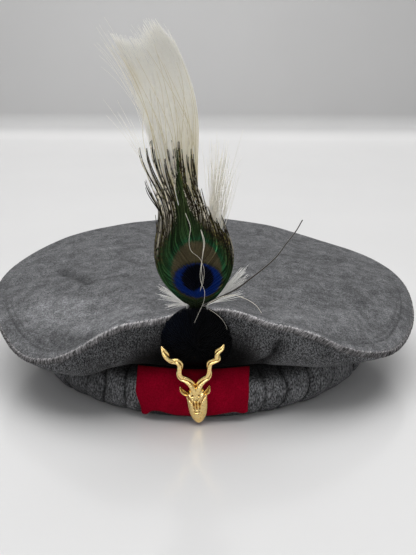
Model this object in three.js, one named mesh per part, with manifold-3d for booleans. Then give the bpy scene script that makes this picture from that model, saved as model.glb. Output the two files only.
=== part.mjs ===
// A felted wool pakol: a round crown sewn to a side tube, a brim rolled up around the tube, and a front
// spray of a red patch, a gilt markhor badge, a black rosette, a peacock eye feather and a white plume.
// Millimetres, +Z up, front towards -Y. The hat rests on the flat underside of its rolled brim.
import * as THREE from "three";
import { mergeVertices } from "three/addons/utils/BufferGeometryUtils.js";
import Module from "manifold-3d";

const wasm = await Module();
wasm.setup();

const { degToRad, lerp, smoothstep } = THREE.MathUtils;

// Cloth, opening and roll
const CLOTH = 2.4; // felted wool
const SEAM_CLOTH = 1.5; // the same wool, pressed thin where it is sewn
const GAP = 0.3; // clearance between pieces that touch
const OPENING_RADIUS = 88; // head opening, 553 mm round
const ROLL_WIDTH = 26.6;
const ROLL_HEIGHT = 29.3;
const ROLL_SQUASH = 1.2; // how far the roll's own weight presses its round underside flat
const CREASE_INSET = 2; // how far inside the roll's crest the side turns out over it

// Crown and side
const CROWN_PEAK = 63; // height of the crown's centre
const CROWN_ROUND = 3; // power of the fall from the centre to the seam
const CROWN_COLUMNS = 60;
const SEAM_SHARE = 0.98; // share of the radius where the sewn layers part
const CROWN_SHARES = [0.14, 0.32, 0.5, 0.66, 0.8, 0.9, SEAM_SHARE, 1];
const PRESSED_FROM = 0.86; // share of the radius where the cloth starts to thin towards the seam
const DRAPE = 7; // how far the side sags below a straight line from the roll to the seam
const DRAPE_FROM = 116; // seam radius where the side is pulled straight
const DRAPE_FULL = 140;

// Red patch and gilt badge
const PATCH_TURN = degToRad(16); // half the patch's width, as a turn about the hat
const PATCH_MIDDLE = degToRad(-0.7);
const PATCH_TOP = degToRad(80); // its upper and lower edge, as angles round the roll's section
const PATCH_BOTTOM = degToRad(-48);
const PATCH_CLOTH = 1.2;
const PATCH_COLUMNS = 8;
const PATCH_CURL = 1.4; // how far its lower corners stand off the roll
const PATCH_CLEAR = 0.5; // least height of its outer face above the surface the hat stands on
const BADGE_TURN = degToRad(-4.5); // the badge is pinned a little askew
const BADGE_SHIFT = 1.5;
const BADGE_RISE = 1.6; // height of its chin above the surface the hat stands on

// Spray of rosette and feathers
const SPRAY_LEAN = degToRad(13.5); // it leans out with the side of the crown
const SPRAY_RADIUS = 104.1; // its foot's distance from the hat's axis
const ROSETTE_HALF_WIDTH = 21;
const ROSETTE_HALF_HEIGHT = 23;
const ROSETTE_RISE = 22.6; // height of its centre above its flat foot
const ROSETTE_RIM = 6;
const ROSETTE_CENTRE = 12;
const ROSETTE_LOCKS = 15;
const LOCK_HOLLOW = 0.93; // reach of the hollows between the rosette's locks
const GROOVE = { half: 5, deep: 5, from: 6 }; // slot in the rosette's back that takes the quills
const QUILL = { depth: -3.5, radius: 1.1, foot: 9, rise: 12 };
const PLUME_DEPTH = -1.25;
const PLUME_FOOT = { half: 1.8 };
const TUFT_FOOT = { x: 3.4, half: 1.1 };
const LOCK_DEEP = 0.85; // half the depth of a lock of plume
const LOCK_ARCH = 6; // least rise of a lock before it falls away sideways
const FEATHER_BEND = 0.0018; // how fast the feathers bend back as they rise
const VANE_CLOTH = 1.1;
const VANE_HALF_WIDTH = 22;
const VANE_CUP = 2.2; // how far the vane's edges bend back
const VANE_STRIPS = 6;
const BARB = { rootHalf: 2.5, tipHalf: 0.6, rootDeep: 0.8, tipDeep: 0.4 };

// Sizes that follow from them
const TUBE_RADIUS = OPENING_RADIUS + CLOTH / 2;
const ROLL_CENTRE = OPENING_RADIUS + CLOTH + GAP + ROLL_WIDTH / 2;
const ROLL_OUTER = ROLL_CENTRE + ROLL_WIDTH / 2;
const CREASE_RADIUS = ROLL_CENTRE - CREASE_INSET;
const CREASE_HEIGHT = ROLL_HEIGHT + GAP + CLOTH / 2;
const PATCH_OUTER = ROLL_OUTER + GAP + PATCH_CLOTH;
const SPRAY_FOOT = ROLL_HEIGHT + GAP + PATCH_CLOTH + GAP;
const SPRAY_TOP = ROSETTE_RISE + ROSETTE_HALF_HEIGHT;

// The seam round the crown: turn from the front towards +X, and the seam's radius and height there.
// It stands up at the front, where the spray holds it, and droops at both front corners.
const SEAM = [
  { turn: 0, radius: 112.6, height: 70.4 },
  { turn: 10, radius: 114.2, height: 70.8 },
  { turn: 26, radius: 126, height: 62.5 },
  { turn: 38, radius: 138.5, height: 50 },
  { turn: 50, radius: 145.5, height: 38.5 },
  { turn: 71, radius: 146.5, height: 36.5 },
  { turn: 93, radius: 144, height: 45 },
  { turn: 116, radius: 143, height: 47 },
  { turn: 138, radius: 143, height: 47.5 },
  { turn: 161, radius: 142, height: 54 },
  { turn: 183, radius: 142, height: 57.5 },
  { turn: 206, radius: 142, height: 56.5 },
  { turn: 228, radius: 141, height: 56 },
  { turn: 251, radius: 141.5, height: 52.5 },
  { turn: 273, radius: 143, height: 49.5 },
  { turn: 296, radius: 145, height: 43.5 },
  { turn: 319, radius: 145, height: 37 },
  { turn: 331, radius: 138, height: 49.5 },
  { turn: 348, radius: 115.2, height: 67.5 },
];

// The side inside the roll: distance out from the tube, and height as a share of the roll's.
const TUBE_LINE = [
  { out: 0, rise: 0 },
  { out: 0, rise: 0.58 },
  { out: 2.4, rise: 0.89 },
  { out: 7, rise: 1.03 },
];
// The side from the roll to the seam: share of the way, and its sag and bulge as shares of the drape.
const SIDE_LINE = [
  { share: 0, sag: 0, bulge: 0 },
  { share: 0.35, sag: 0.45, bulge: 0 },
  { share: 0.7, sag: 1, bulge: 0.2 },
  { share: 0.93, sag: 0.85, bulge: 0.4 },
];

// Soft hollows in the crown: turn, share of the way to the seam, depth, and reach along and across.
const DENTS = [
  { turn: 272, share: 0.66, depth: 3.2, along: 0.12, across: 22 },
  { turn: 20, share: 0.7, depth: 2.4, along: 0.16, across: 26 },
  { turn: 128, share: 0.8, depth: 2.2, along: 0.14, across: 16 },
];

// Creases of the gathered roll near the patch: turn, depth, and how far the crease leans, in degrees.
const FRONT_CREASES = [
  { turn: -34, depth: 1.4, lean: 2.5 },
  { turn: -28.5, depth: 1.9, lean: 2 },
  { turn: -22.5, depth: 1.5, lean: 1.5 },
  { turn: 21, depth: 1.3, lean: -1.5 },
  { turn: 27, depth: 1.9, lean: -2.5 },
  { turn: 35.5, depth: 2, lean: -2.5 },
  { turn: 43, depth: 1.3, lean: -2 },
];
const BACK_CREASES = 17; // the same gathers, carried on evenly round the sides and back
const BACK_CREASES_FROM = 58;
const BACK_CREASES_TO = 310;
const CREASE_HALF_WIDTH = 2.1;

// The vane of the eye feather: rise above its foot, half width, and its middle's shift sideways.
const VANE = [
  { rise: 0, half: 1.4, middle: 0 },
  { rise: 3, half: 4.5, middle: 0 },
  { rise: 8, half: 10.5, middle: 0 },
  { rise: 17.5, half: 18.5, middle: 0 },
  { rise: 28.5, half: 22, middle: -0.9 },
  { rise: 38.5, half: 21.5, middle: -1 },
  { rise: 47, half: 19.2, middle: -1.5 },
  { rise: 58, half: 16, middle: -2.2 },
  { rise: 66, half: 12, middle: -4 },
];
// Free barbs above the vane: root and tip, sideways and above the vane's foot.
const BARBS = [
  { rootX: -20, rootRise: 40, tipX: -24.5, tipRise: 79 },
  { rootX: -16, rootRise: 50, tipX: -22, tipRise: 94 },
  { rootX: -12.5, rootRise: 57, tipX: -17, tipRise: 95.5 },
  { rootX: -8.5, rootRise: 61, tipX: -9, tipRise: 94 },
  { rootX: -4, rootRise: 61, tipX: -4, tipRise: 94 },
  { rootX: 1, rootRise: 60, tipX: 0, tipRise: 90.5 },
  { rootX: 6, rootRise: 54, tipX: 5, tipRise: 73 },
  { rootX: 11, rootRise: 47, tipX: 10.5, tipRise: 62 },
  { rootX: 16.5, rootRise: 39, tipX: 15, tipRise: 56 },
];
// Locks of the white plume: tip sideways, above the foot and back, and the lock's half width.
const PLUME_LOCKS = [
  { tipX: -47, tipRise: 139, back: 6, half: 3.6 },
  { tipX: -40, tipRise: 136, back: 10, half: 4.8 },
  { tipX: -33, tipRise: 144, back: 7, half: 5.6 },
  { tipX: -26, tipRise: 148, back: 11, half: 6 },
  { tipX: -19, tipRise: 148, back: 7, half: 6 },
  { tipX: -11, tipRise: 138, back: 11, half: 5.6 },
  { tipX: -4, tipRise: 125, back: 8, half: 5 },
  { tipX: 2, tipRise: 109, back: 11, half: 4.2 },
  { tipX: 20, tipRise: 78, back: 20, half: 3 },
];
// Locks of the two down tufts at the feather's foot.
const LEFT_TUFT = [
  { tipX: -19, tipRise: 9.5, back: 1, half: 2.4 },
  { tipX: -17, tipRise: 3.5, back: 0, half: 2.2 },
  { tipX: -13.5, tipRise: 14.5, back: 3, half: 2 },
];
const RIGHT_TUFT = [
  { tipX: 28.5, tipRise: 22.5, back: 2, half: 2.4 },
  { tipX: 24, tipRise: 15, back: 1, half: 2.6 },
  { tipX: 33, tipRise: 7, back: 4, half: 1.6 },
];

// The markhor's face from chin to brow: rise, half width and depth of relief.
const FACE = [
  { rise: 0, half: 1.7, depth: 1.5 },
  { rise: 1.7, half: 3.6, depth: 2.4 },
  { rise: 5, half: 5.1, depth: 2.9 },
  { rise: 9, half: 6, depth: 3.3 },
  { rise: 13.7, half: 6.4, depth: 3.7 },
  { rise: 17.7, half: 6.1, depth: 3.9 },
  { rise: 21, half: 5, depth: 3.7 },
  { rise: 24.5, half: 3.4, depth: 3 },
];
// One section of the face, from its left edge across the nose ridge to its right edge.
const FACE_SECTION = [
  { across: -0.9, out: 0 },
  { across: -1, out: 0.35 },
  { across: -0.62, out: 0.66 },
  { across: -0.3, out: 0.7 },
  { across: -0.13, out: 1 },
  { across: 0.13, out: 1 },
  { across: 0.3, out: 0.7 },
  { across: 0.62, out: 0.66 },
  { across: 1, out: 0.35 },
  { across: 0.9, out: 0 },
];
const HORN = {
  rootX: 1.8,
  rootRise: 23.4,
  tipX: 18.3,
  tipRise: 50.4,
  depth: 2.1,
  rootHalf: 2,
  tipHalf: 0.35,
  mostDeep: 1.7,
  turns: 2.3, // turns of the corkscrew
  swing: 2.2, // how far it winds to each side of its line
  phase: 0.35,
  steps: 20,
};
const EAR = { rootX: 4.7, rootRise: 19.2, tipX: 9.8, tipRise: 24, depth: 1.3, half: 1.5, deep: 1 };
const EYE = { x: 3.5, rise: 16, depth: 2.5, radius: 0.95 };

// A point at a turn from the front, a radius from the hat's axis and a height.
function polar(turn, radius, height) {
  return new THREE.Vector3(radius * Math.sin(turn), -radius * Math.cos(turn), height);
}

function signedVolume(points, faces) {
  let six = 0;
  for (let i = 0; i < faces.length; i += 3) {
    const [a, b, c] = [points[faces[i]], points[faces[i + 1]], points[faces[i + 2]]];
    six += a.dot(b.clone().cross(c));
  }
  return six / 6;
}

// A closed geometry of shared points, with its faces turned to point out.
function solid(points, faces) {
  const outward = signedVolume(points, faces) > 0 ? faces : faces.slice().reverse();
  const geometry = new THREE.BufferGeometry().setFromPoints(points);
  geometry.setIndex(outward);
  return geometry;
}

// Triangles that close one flat ring of points.
function capFaces(ring, offset) {
  const normal = new THREE.Vector3();
  ring.forEach((p, i) => normal.add(p.clone().cross(ring[(i + 1) % ring.length])));
  const turn = new THREE.Quaternion().setFromUnitVectors(normal.normalize(), new THREE.Vector3(0, 0, 1));
  const flat = ring.map((p) => p.clone().applyQuaternion(turn));
  const outline = flat.map((p) => new THREE.Vector2(p.x, p.y));
  return THREE.ShapeUtils.triangulateShape(outline, []).flat().map((i) => i + offset);
}

// A solid through rings that have the same number of points. A looped one joins its last ring to its first.
function loft(rings, looped = false) {
  const count = rings[0].length;
  const faces = [];
  const spans = looped ? rings.length : rings.length - 1;
  for (let i = 0; i < spans; i++) {
    const here = i * count;
    const next = ((i + 1) % rings.length) * count;
    for (let j = 0; j < count; j++) {
      const k = (j + 1) % count;
      faces.push(here + j, here + k, next + k, here + j, next + k, next + j);
    }
  }
  if (!looped) {
    faces.push(...capFaces(rings[0], 0).reverse());
    faces.push(...capFaces(rings.at(-1), (rings.length - 1) * count));
  }
  return solid(rings.flat(), faces);
}

// A tapering strand along a curve, wider across than it is deep.
function strand(curve, steps, sides, sizeAt) {
  const rings = [];
  for (let i = 0; i <= steps; i++) {
    const share = i / steps;
    const centre = curve.getPoint(share);
    const along = curve.getTangent(share);
    const depthways = new THREE.Vector3(0, 1, 0).addScaledVector(along, -along.y).normalize();
    const sideways = depthways.clone().cross(along);
    const { half, deep } = sizeAt(share);
    const ring = [];
    for (let j = 0; j < sides; j++) {
      const angle = (2 * Math.PI * j) / sides;
      const point = centre.clone().addScaledVector(sideways, half * Math.cos(angle));
      ring.push(point.addScaledVector(depthways, deep * Math.sin(angle)));
    }
    rings.push(ring);
  }
  return loft(rings);
}

// A geometry left with its points alone, so that shared points can be merged.
function bare(geometry) {
  geometry.deleteAttribute("normal");
  geometry.deleteAttribute("uv");
  return geometry;
}

function toManifold(geometry) {
  const merged = mergeVertices(geometry, 1e-4);
  const vertProperties = merged.getAttribute("position").array;
  const triVerts = new Uint32Array(merged.getIndex().array);
  return new wasm.Manifold(new wasm.Mesh({ numProp: 3, vertProperties, triVerts }));
}

function fromManifold(manifold) {
  const { vertProperties, triVerts } = manifold.getMesh();
  const geometry = new THREE.BufferGeometry();
  geometry.setAttribute("position", new THREE.BufferAttribute(vertProperties, 3));
  geometry.setIndex(new THREE.BufferAttribute(triVerts, 1));
  return geometry;
}

function fuse(geometries) {
  return fromManifold(geometries.map(toManifold).reduce((whole, piece) => whole.add(piece)));
}

function cut(geometry, tool) {
  return fromManifold(toManifold(geometry).subtract(toManifold(tool)));
}

function piece(name, geometry, material) {
  const flat = geometry.getIndex() ? geometry.toNonIndexed() : geometry;
  flat.computeVertexNormals();
  const mesh = new THREE.Mesh(flat, material);
  mesh.name = name;
  return mesh;
}

function finish(color, roughness, metalness = 0) {
  return new THREE.MeshStandardMaterial({ color, roughness, metalness });
}

const GREY_WOOL = finish(0x6b6b6d, 0.95);
const DARK_WOOL = finish(0x565658, 0.95);
const RED_FELT = finish(0x73000f, 0.85);
const GILT = finish(0xd9a84e, 0.28, 1);
const BLACK_HACKLE = finish(0x07080c, 0.8);
const PEACOCK = finish(0x1f4a30, 0.5);
const WHITE_FEATHER = finish(0xe9e4d4, 0.7);

// Crown and side, column by column round the seam

const seamLine = new THREE.CatmullRomCurve3(
  SEAM.map(({ turn, radius, height }) => polar(degToRad(turn), radius, height)),
  true,
);
const COLUMNS = Array.from({ length: CROWN_COLUMNS }, (_, i) => {
  const { x, y, z } = seamLine.getPoint(i / CROWN_COLUMNS);
  return { turn: Math.atan2(x, -y), radius: Math.hypot(x, y), height: z };
});

function dentDepth(turn, share) {
  let depth = 0;
  for (const dent of DENTS) {
    const off = THREE.MathUtils.euclideanModulo(turn - degToRad(dent.turn) + Math.PI, 2 * Math.PI) - Math.PI;
    const across = off / degToRad(dent.across);
    const along = (share - dent.share) / dent.along;
    depth += dent.depth * Math.exp(-across * across - along * along);
  }
  return depth;
}

// Middle of the crown's cloth at a share of the way from the hat's axis to the seam.
function crownHeight({ turn, height }, share) {
  return lerp(CROWN_PEAK, height, share ** CROWN_ROUND) - dentDepth(turn, share);
}

function clothAt(share) {
  return lerp(CLOTH, SEAM_CLOTH, smoothstep(share, PRESSED_FROM, SEAM_SHARE));
}

function crownTop() {
  const ring = (share, side) =>
    COLUMNS.map((column) => {
      const height = crownHeight(column, share) + (side * clothAt(share)) / 2;
      return polar(column.turn, column.radius * share, height);
    });
  const upper = CROWN_SHARES.map((share) => ring(share, 1));
  const lower = CROWN_SHARES.map((share) => ring(share, -1)).reverse();
  return loft([...upper, ...lower]);
}

// Middle line of the side cloth in one column: up inside the roll, over it, and out to the seam.
function sideLine(column) {
  const layer = SEAM_CLOTH + GAP;
  const partRadius = column.radius * SEAM_SHARE;
  const partHeight = crownHeight(column, SEAM_SHARE) - layer;
  const drape = DRAPE * smoothstep(column.radius, DRAPE_FROM, DRAPE_FULL);
  const tube = TUBE_LINE.map(({ out, rise }) => ({
    radius: TUBE_RADIUS + out,
    height: rise * ROLL_HEIGHT,
    cloth: CLOTH,
  }));
  const side = SIDE_LINE.map(({ share, sag, bulge }) => ({
    radius: lerp(CREASE_RADIUS, partRadius, share) + bulge * drape,
    height: lerp(CREASE_HEIGHT, partHeight, share) - sag * drape,
    cloth: CLOTH,
  }));
  const part = { radius: partRadius, height: partHeight, cloth: SEAM_CLOTH };
  const edge = { radius: column.radius, height: column.height - layer, cloth: SEAM_CLOTH };
  return [...tube, ...side, part, edge];
}

// Both faces of a cloth that follows a line of middle points, as one closed section.
function clothSection(line) {
  const faces = { out: [], in: [] };
  line.forEach(({ radius, height, cloth }, i) => {
    const before = line[Math.max(i - 1, 0)];
    const after = line[Math.min(i + 1, line.length - 1)];
    const along = new THREE.Vector2(after.radius - before.radius, after.height - before.height).normalize();
    const half = cloth / 2;
    faces.out.push({ radius: radius + along.y * half, height: height - along.x * half });
    faces.in.push({ radius: radius - along.y * half, height: height + along.x * half });
  });
  return [...faces.out, ...faces.in.reverse()];
}

function crownSide() {
  const sections = COLUMNS.map((column) =>
    clothSection(sideLine(column)).map(({ radius, height }) => polar(column.turn, radius, height)),
  );
  return loft(sections, true);
}

// Rolled brim

// Angles round the roll's section: across the flat underside, up the outside, over and down the inside.
const FLAT_FROM = degToRad(-70);
const OVER_AT = degToRad(110);
const FLAT_TO = degToRad(250);
const OUTER_ANGLES = Array.from({ length: 8 }, (_, i) => lerp(FLAT_FROM, OVER_AT, i / 7));
const INNER_ANGLES = Array.from({ length: 4 }, (_, i) => lerp(OVER_AT, FLAT_TO, (i + 1) / 4));

// A point of the roll's section, grown by a margin and drawn in by a crease.
function rollPoint(angle, margin = 0, crease = 0) {
  const outside = smoothstep(Math.cos(angle), -0.2, 0.45);
  const sine = Math.sin(angle);
  const tall = ROLL_HEIGHT / 2 + margin + (sine < 0 ? ROLL_SQUASH : 0) - crease * outside * Math.max(sine, 0);
  const radius = ROLL_CENTRE + (ROLL_WIDTH / 2 + margin - crease * outside) * Math.cos(angle);
  return { radius, height: Math.max(0, ROLL_HEIGHT / 2 + tall * sine) };
}

function rollCreases() {
  const creases = FRONT_CREASES.map((crease) => ({ ...crease }));
  for (let i = 0; i < BACK_CREASES; i++) {
    const turn = lerp(BACK_CREASES_FROM, BACK_CREASES_TO, i / (BACK_CREASES - 1));
    creases.push({
      turn: turn + 3 * Math.sin(2.3 * i),
      depth: 1.5 + 0.5 * Math.sin(1.7 * i),
      lean: 2 * Math.cos(1.3 * i),
    });
  }
  return creases.sort((a, b) => a.turn - b.turn);
}

// Columns of the roll: three to a crease, and plain ones that fill the spans between creases.
function rollColumns() {
  const creases = rollCreases();
  const columns = [];
  creases.forEach(({ turn, depth, lean }, i) => {
    columns.push({ turn: turn - CREASE_HALF_WIDTH, depth: 0, lean });
    columns.push({ turn, depth, lean });
    columns.push({ turn: turn + CREASE_HALF_WIDTH, depth: 0, lean });
    const next = i + 1 < creases.length ? creases[i + 1].turn : creases[0].turn + 360;
    const from = turn + CREASE_HALF_WIDTH;
    const span = next - CREASE_HALF_WIDTH - from;
    const fills = Math.floor(span / 6);
    for (let k = 1; k <= fills; k++) {
      columns.push({ turn: from + (span * k) / (fills + 1), depth: 0, lean: 0 });
    }
  });
  return columns;
}

function rolledBrim() {
  const sections = rollColumns().map(({ turn, depth, lean }) =>
    [...OUTER_ANGLES, ...INNER_ANGLES].map((angle) => {
      const { radius, height } = rollPoint(angle, 0, depth);
      const outside = Math.max(Math.cos(angle), 0);
      return polar(degToRad(turn + lean * outside * Math.sin(angle)), radius, height);
    }),
  );
  return loft(sections, true);
}

// Red patch over the front of the roll, with its lower corners curling off it

function frontPatch() {
  const onRoll = OUTER_ANGLES.filter((angle) => angle > PATCH_BOTTOM && angle < PATCH_TOP);
  const angles = [PATCH_BOTTOM, ...onRoll, PATCH_TOP];
  const sections = [];
  for (let i = 0; i <= PATCH_COLUMNS; i++) {
    const across = lerp(-1, 1, i / PATCH_COLUMNS);
    const turn = PATCH_MIDDLE + across * PATCH_TURN;
    const corner = smoothstep(Math.abs(across), 0.4, 1);
    const inner = [];
    const outer = [];
    angles.forEach((angle, k) => {
      const lift = GAP + (k === 0 ? PATCH_CURL * corner : 0);
      const low = rollPoint(angle, lift);
      const high = rollPoint(angle, lift + PATCH_CLOTH);
      inner.push(polar(turn, low.radius, low.height));
      outer.push(polar(turn, high.radius, Math.max(high.height, PATCH_CLEAR)));
    });
    sections.push([...inner, ...outer.reverse()]);
  }
  return loft(sections);
}

// Gilt badge, in its own frame: back at y = 0, chin at z = 0, relief towards -Y

function horn(side) {
  const root = new THREE.Vector3(side * HORN.rootX, 0, HORN.rootRise);
  const tip = new THREE.Vector3(side * HORN.tipX, 0, HORN.tipRise);
  const along = tip.clone().sub(root).normalize();
  const outward = new THREE.Vector3(side * along.z, 0, -side * along.x);
  const points = [];
  for (let i = 0; i <= HORN.steps; i++) {
    const share = i / HORN.steps;
    const angle = 2 * Math.PI * HORN.turns * (share - HORN.phase);
    const swing = HORN.swing * smoothstep(share, 0, 0.2) * lerp(1.1, 0.35, share);
    const point = root.clone().lerp(tip, share).addScaledVector(outward, swing * Math.cos(angle));
    point.y = -HORN.depth - 0.35 * swing * Math.sin(angle);
    points.push(point);
  }
  return strand(new THREE.CatmullRomCurve3(points), HORN.steps, 7, (share) => {
    const half = lerp(HORN.rootHalf, HORN.tipHalf, share ** 1.3);
    return { half, deep: Math.min(half, HORN.mostDeep) };
  });
}

function ear(side) {
  const root = new THREE.Vector3(side * EAR.rootX, -EAR.depth, EAR.rootRise);
  const tip = new THREE.Vector3(side * EAR.tipX, -EAR.depth, EAR.tipRise);
  const bend = new THREE.Vector3(lerp(root.x, tip.x, 0.6), -EAR.depth, lerp(root.z, tip.z, 0.4));
  const curve = new THREE.QuadraticBezierCurve3(root, bend, tip);
  return strand(curve, 4, 6, (share) => ({
    half: lerp(EAR.half, 0.3, share ** 2),
    deep: lerp(EAR.deep, 0.3, share),
  }));
}

function eye(side) {
  return bare(new THREE.SphereGeometry(EYE.radius, 8, 6)).translate(side * EYE.x, -EYE.depth, EYE.rise);
}

function badgeRelief() {
  const face = loft(
    FACE.map(({ rise, half, depth }) =>
      FACE_SECTION.map(({ across, out }) => new THREE.Vector3(across * half, -out * depth, rise)),
    ),
  );
  return fuse([face, horn(-1), horn(1), ear(-1), ear(1), eye(-1), eye(1)]);
}

// Spray of rosette and feathers, in a frame that leans on the crown: back at y = 0, foot at z = 0

function rosette() {
  const sides = 2 * ROSETTE_LOCKS;
  const ring = (reach, depth) =>
    Array.from({ length: sides }, (_, i) => {
      const angle = (2 * Math.PI * i) / sides;
      const lock = i % 2 ? lerp(1, LOCK_HOLLOW, reach) : 1;
      const x = lock * reach * ROSETTE_HALF_WIDTH * Math.sin(angle);
      const z = ROSETTE_RISE + lock * reach * ROSETTE_HALF_HEIGHT * Math.cos(angle);
      return new THREE.Vector3(x, -depth, Math.max(z, 0));
    });
  const dome = [1, 0.9, 0.7, 0.4].map((reach) =>
    ring(reach, lerp(ROSETTE_RIM, ROSETTE_CENTRE, Math.sqrt(1 - reach * reach))),
  );
  const groove = bare(new THREE.BoxGeometry(2 * GROOVE.half, 2 * GROOVE.deep, SPRAY_TOP));
  groove.translate(0, 0, GROOVE.from + SPRAY_TOP / 2);
  return cut(loft([ring(1, 0), ...dome]), groove);
}

// How far a feather bends back from the leaning frame at a rise above the rosette.
function bendBack(rise) {
  return FEATHER_BEND * Math.max(rise, 0) ** 2;
}

function eyeFeather() {
  const vane = VANE.map(({ rise, half, middle }) => {
    const front = [];
    const back = [];
    for (let i = 0; i <= VANE_STRIPS; i++) {
      const across = lerp(-1, 1, i / VANE_STRIPS);
      const x = middle + across * half;
      const depth = QUILL.depth + bendBack(rise) + VANE_CUP * across * across * (half / VANE_HALF_WIDTH);
      front.push(new THREE.Vector3(x, depth - VANE_CLOTH / 2, SPRAY_TOP + GAP + rise));
      back.push(new THREE.Vector3(x, depth + VANE_CLOTH / 2, SPRAY_TOP + GAP + rise));
    }
    return [...front, ...back.reverse()];
  });
  const quillLine = new THREE.LineCurve3(
    new THREE.Vector3(0, QUILL.depth, QUILL.foot),
    new THREE.Vector3(0, QUILL.depth + bendBack(QUILL.rise), SPRAY_TOP + QUILL.rise),
  );
  const quill = strand(quillLine, 2, 8, () => ({ half: QUILL.radius, deep: QUILL.radius }));
  const barbs = BARBS.map(({ rootX, rootRise, tipX, tipRise }) => {
    const cup = VANE_CUP * (rootX / VANE_HALF_WIDTH) ** 2;
    const at = (x, rise) => new THREE.Vector3(x, QUILL.depth + bendBack(rise) + cup, SPRAY_TOP + rise);
    const bend = at(lerp(rootX, tipX, 0.35), lerp(rootRise, tipRise, 0.55));
    const curve = new THREE.QuadraticBezierCurve3(at(rootX, rootRise), bend, at(tipX, tipRise));
    return strand(curve, 5, 5, (share) => ({
      half: lerp(BARB.rootHalf, BARB.tipHalf, share),
      deep: lerp(BARB.rootDeep, BARB.tipDeep, share),
    }));
  });
  return fuse([loft(vane), quill, ...barbs]);
}

// Locks that leave one bound foot and part towards their tips.
function lockBundle(locks, footX, footHalf) {
  const foot = new THREE.LineCurve3(
    new THREE.Vector3(footX, PLUME_DEPTH, QUILL.foot),
    new THREE.Vector3(footX, PLUME_DEPTH, SPRAY_TOP + 1),
  );
  const bound = strand(foot, 1, 8, () => ({ half: footHalf, deep: LOCK_DEEP }));
  const strands = locks.map(({ tipX, tipRise, back, half }) => {
    const start = new THREE.Vector3(footX, PLUME_DEPTH, SPRAY_TOP);
    const tip = new THREE.Vector3(tipX, PLUME_DEPTH + bendBack(tipRise) + back, SPRAY_TOP + tipRise);
    const bend = new THREE.Vector3(
      lerp(footX, tipX, 0.2),
      PLUME_DEPTH + bendBack(0.5 * tipRise) + 0.4 * back,
      SPRAY_TOP + Math.max(0.55 * tipRise, LOCK_ARCH),
    );
    const curve = new THREE.QuadraticBezierCurve3(start, bend, tip);
    return strand(curve, 6, 6, (share) => {
      const swell = Math.sin(Math.PI * lerp(0.12, 0.93, share));
      return { half: Math.max(half * swell, 0.45), deep: Math.max(LOCK_DEEP * swell, 0.35) };
    });
  });
  return fuse([bound, ...strands]);
}

const hat = new THREE.Group();
hat.add(piece("crown_top", crownTop(), GREY_WOOL));
hat.add(piece("crown_side", crownSide(), DARK_WOOL));
hat.add(piece("rolled_brim", rolledBrim(), GREY_WOOL));
hat.add(piece("front_patch", frontPatch(), RED_FELT));

const badge = piece("markhor_badge", badgeRelief(), GILT);
badge.position.set(BADGE_SHIFT, -(PATCH_OUTER + GAP), BADGE_RISE);
badge.rotation.y = BADGE_TURN;
hat.add(badge);

const spray = new THREE.Group();
spray.position.set(0, -SPRAY_RADIUS, SPRAY_FOOT);
spray.rotation.x = SPRAY_LEAN;
spray.add(piece("rosette", rosette(), BLACK_HACKLE));
spray.add(piece("peacock_feather", eyeFeather(), PEACOCK));
spray.add(piece("white_plume", lockBundle(PLUME_LOCKS, 0, PLUME_FOOT.half), WHITE_FEATHER));
spray.add(piece("down_tuft_left", lockBundle(LEFT_TUFT, -TUFT_FOOT.x, TUFT_FOOT.half), WHITE_FEATHER));
spray.add(piece("down_tuft_right", lockBundle(RIGHT_TUFT, TUFT_FOOT.x, TUFT_FOOT.half), WHITE_FEATHER));
hat.add(spray);

// The origin is the centre of the hat's footprint, on the surface it stands on.
const middle = new THREE.Box3().setFromObject(hat, true).getCenter(new THREE.Vector3());
middle.z = 0;
hat.children.forEach((child) => child.position.sub(middle));

export default hat;
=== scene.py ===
"""A grey felted pakol with a front spray of badge and feathers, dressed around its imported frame.

Sizes are millimetres in the hat's own frame. Its origin is on the hat's axis and on the surface it stands on,
its front is towards -Y, and turns run in degrees from the front towards +X.
"""

import math

import bmesh
import bpy
import numpy as np
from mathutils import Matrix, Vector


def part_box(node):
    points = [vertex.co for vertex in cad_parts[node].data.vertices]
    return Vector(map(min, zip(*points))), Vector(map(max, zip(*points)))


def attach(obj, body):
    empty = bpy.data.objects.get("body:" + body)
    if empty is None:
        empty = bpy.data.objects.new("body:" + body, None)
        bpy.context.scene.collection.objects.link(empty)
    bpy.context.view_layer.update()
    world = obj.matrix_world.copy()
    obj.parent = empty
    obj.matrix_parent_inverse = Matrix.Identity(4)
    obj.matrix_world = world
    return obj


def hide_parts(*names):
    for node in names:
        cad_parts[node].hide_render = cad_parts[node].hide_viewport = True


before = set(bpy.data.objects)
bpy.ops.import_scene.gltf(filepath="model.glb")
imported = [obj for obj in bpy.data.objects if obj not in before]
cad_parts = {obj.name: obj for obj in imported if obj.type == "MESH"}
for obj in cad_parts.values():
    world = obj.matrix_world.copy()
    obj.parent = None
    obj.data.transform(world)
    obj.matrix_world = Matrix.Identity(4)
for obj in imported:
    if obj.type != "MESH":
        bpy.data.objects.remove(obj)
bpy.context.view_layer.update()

MM = 0.001
ROLL_LOW, ROLL_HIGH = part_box("rolled_brim")
HAT_AXIS = np.array([(ROLL_LOW.x + ROLL_HIGH.x) / 2, (ROLL_LOW.y + ROLL_HIGH.y) / 2, 0])

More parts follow.
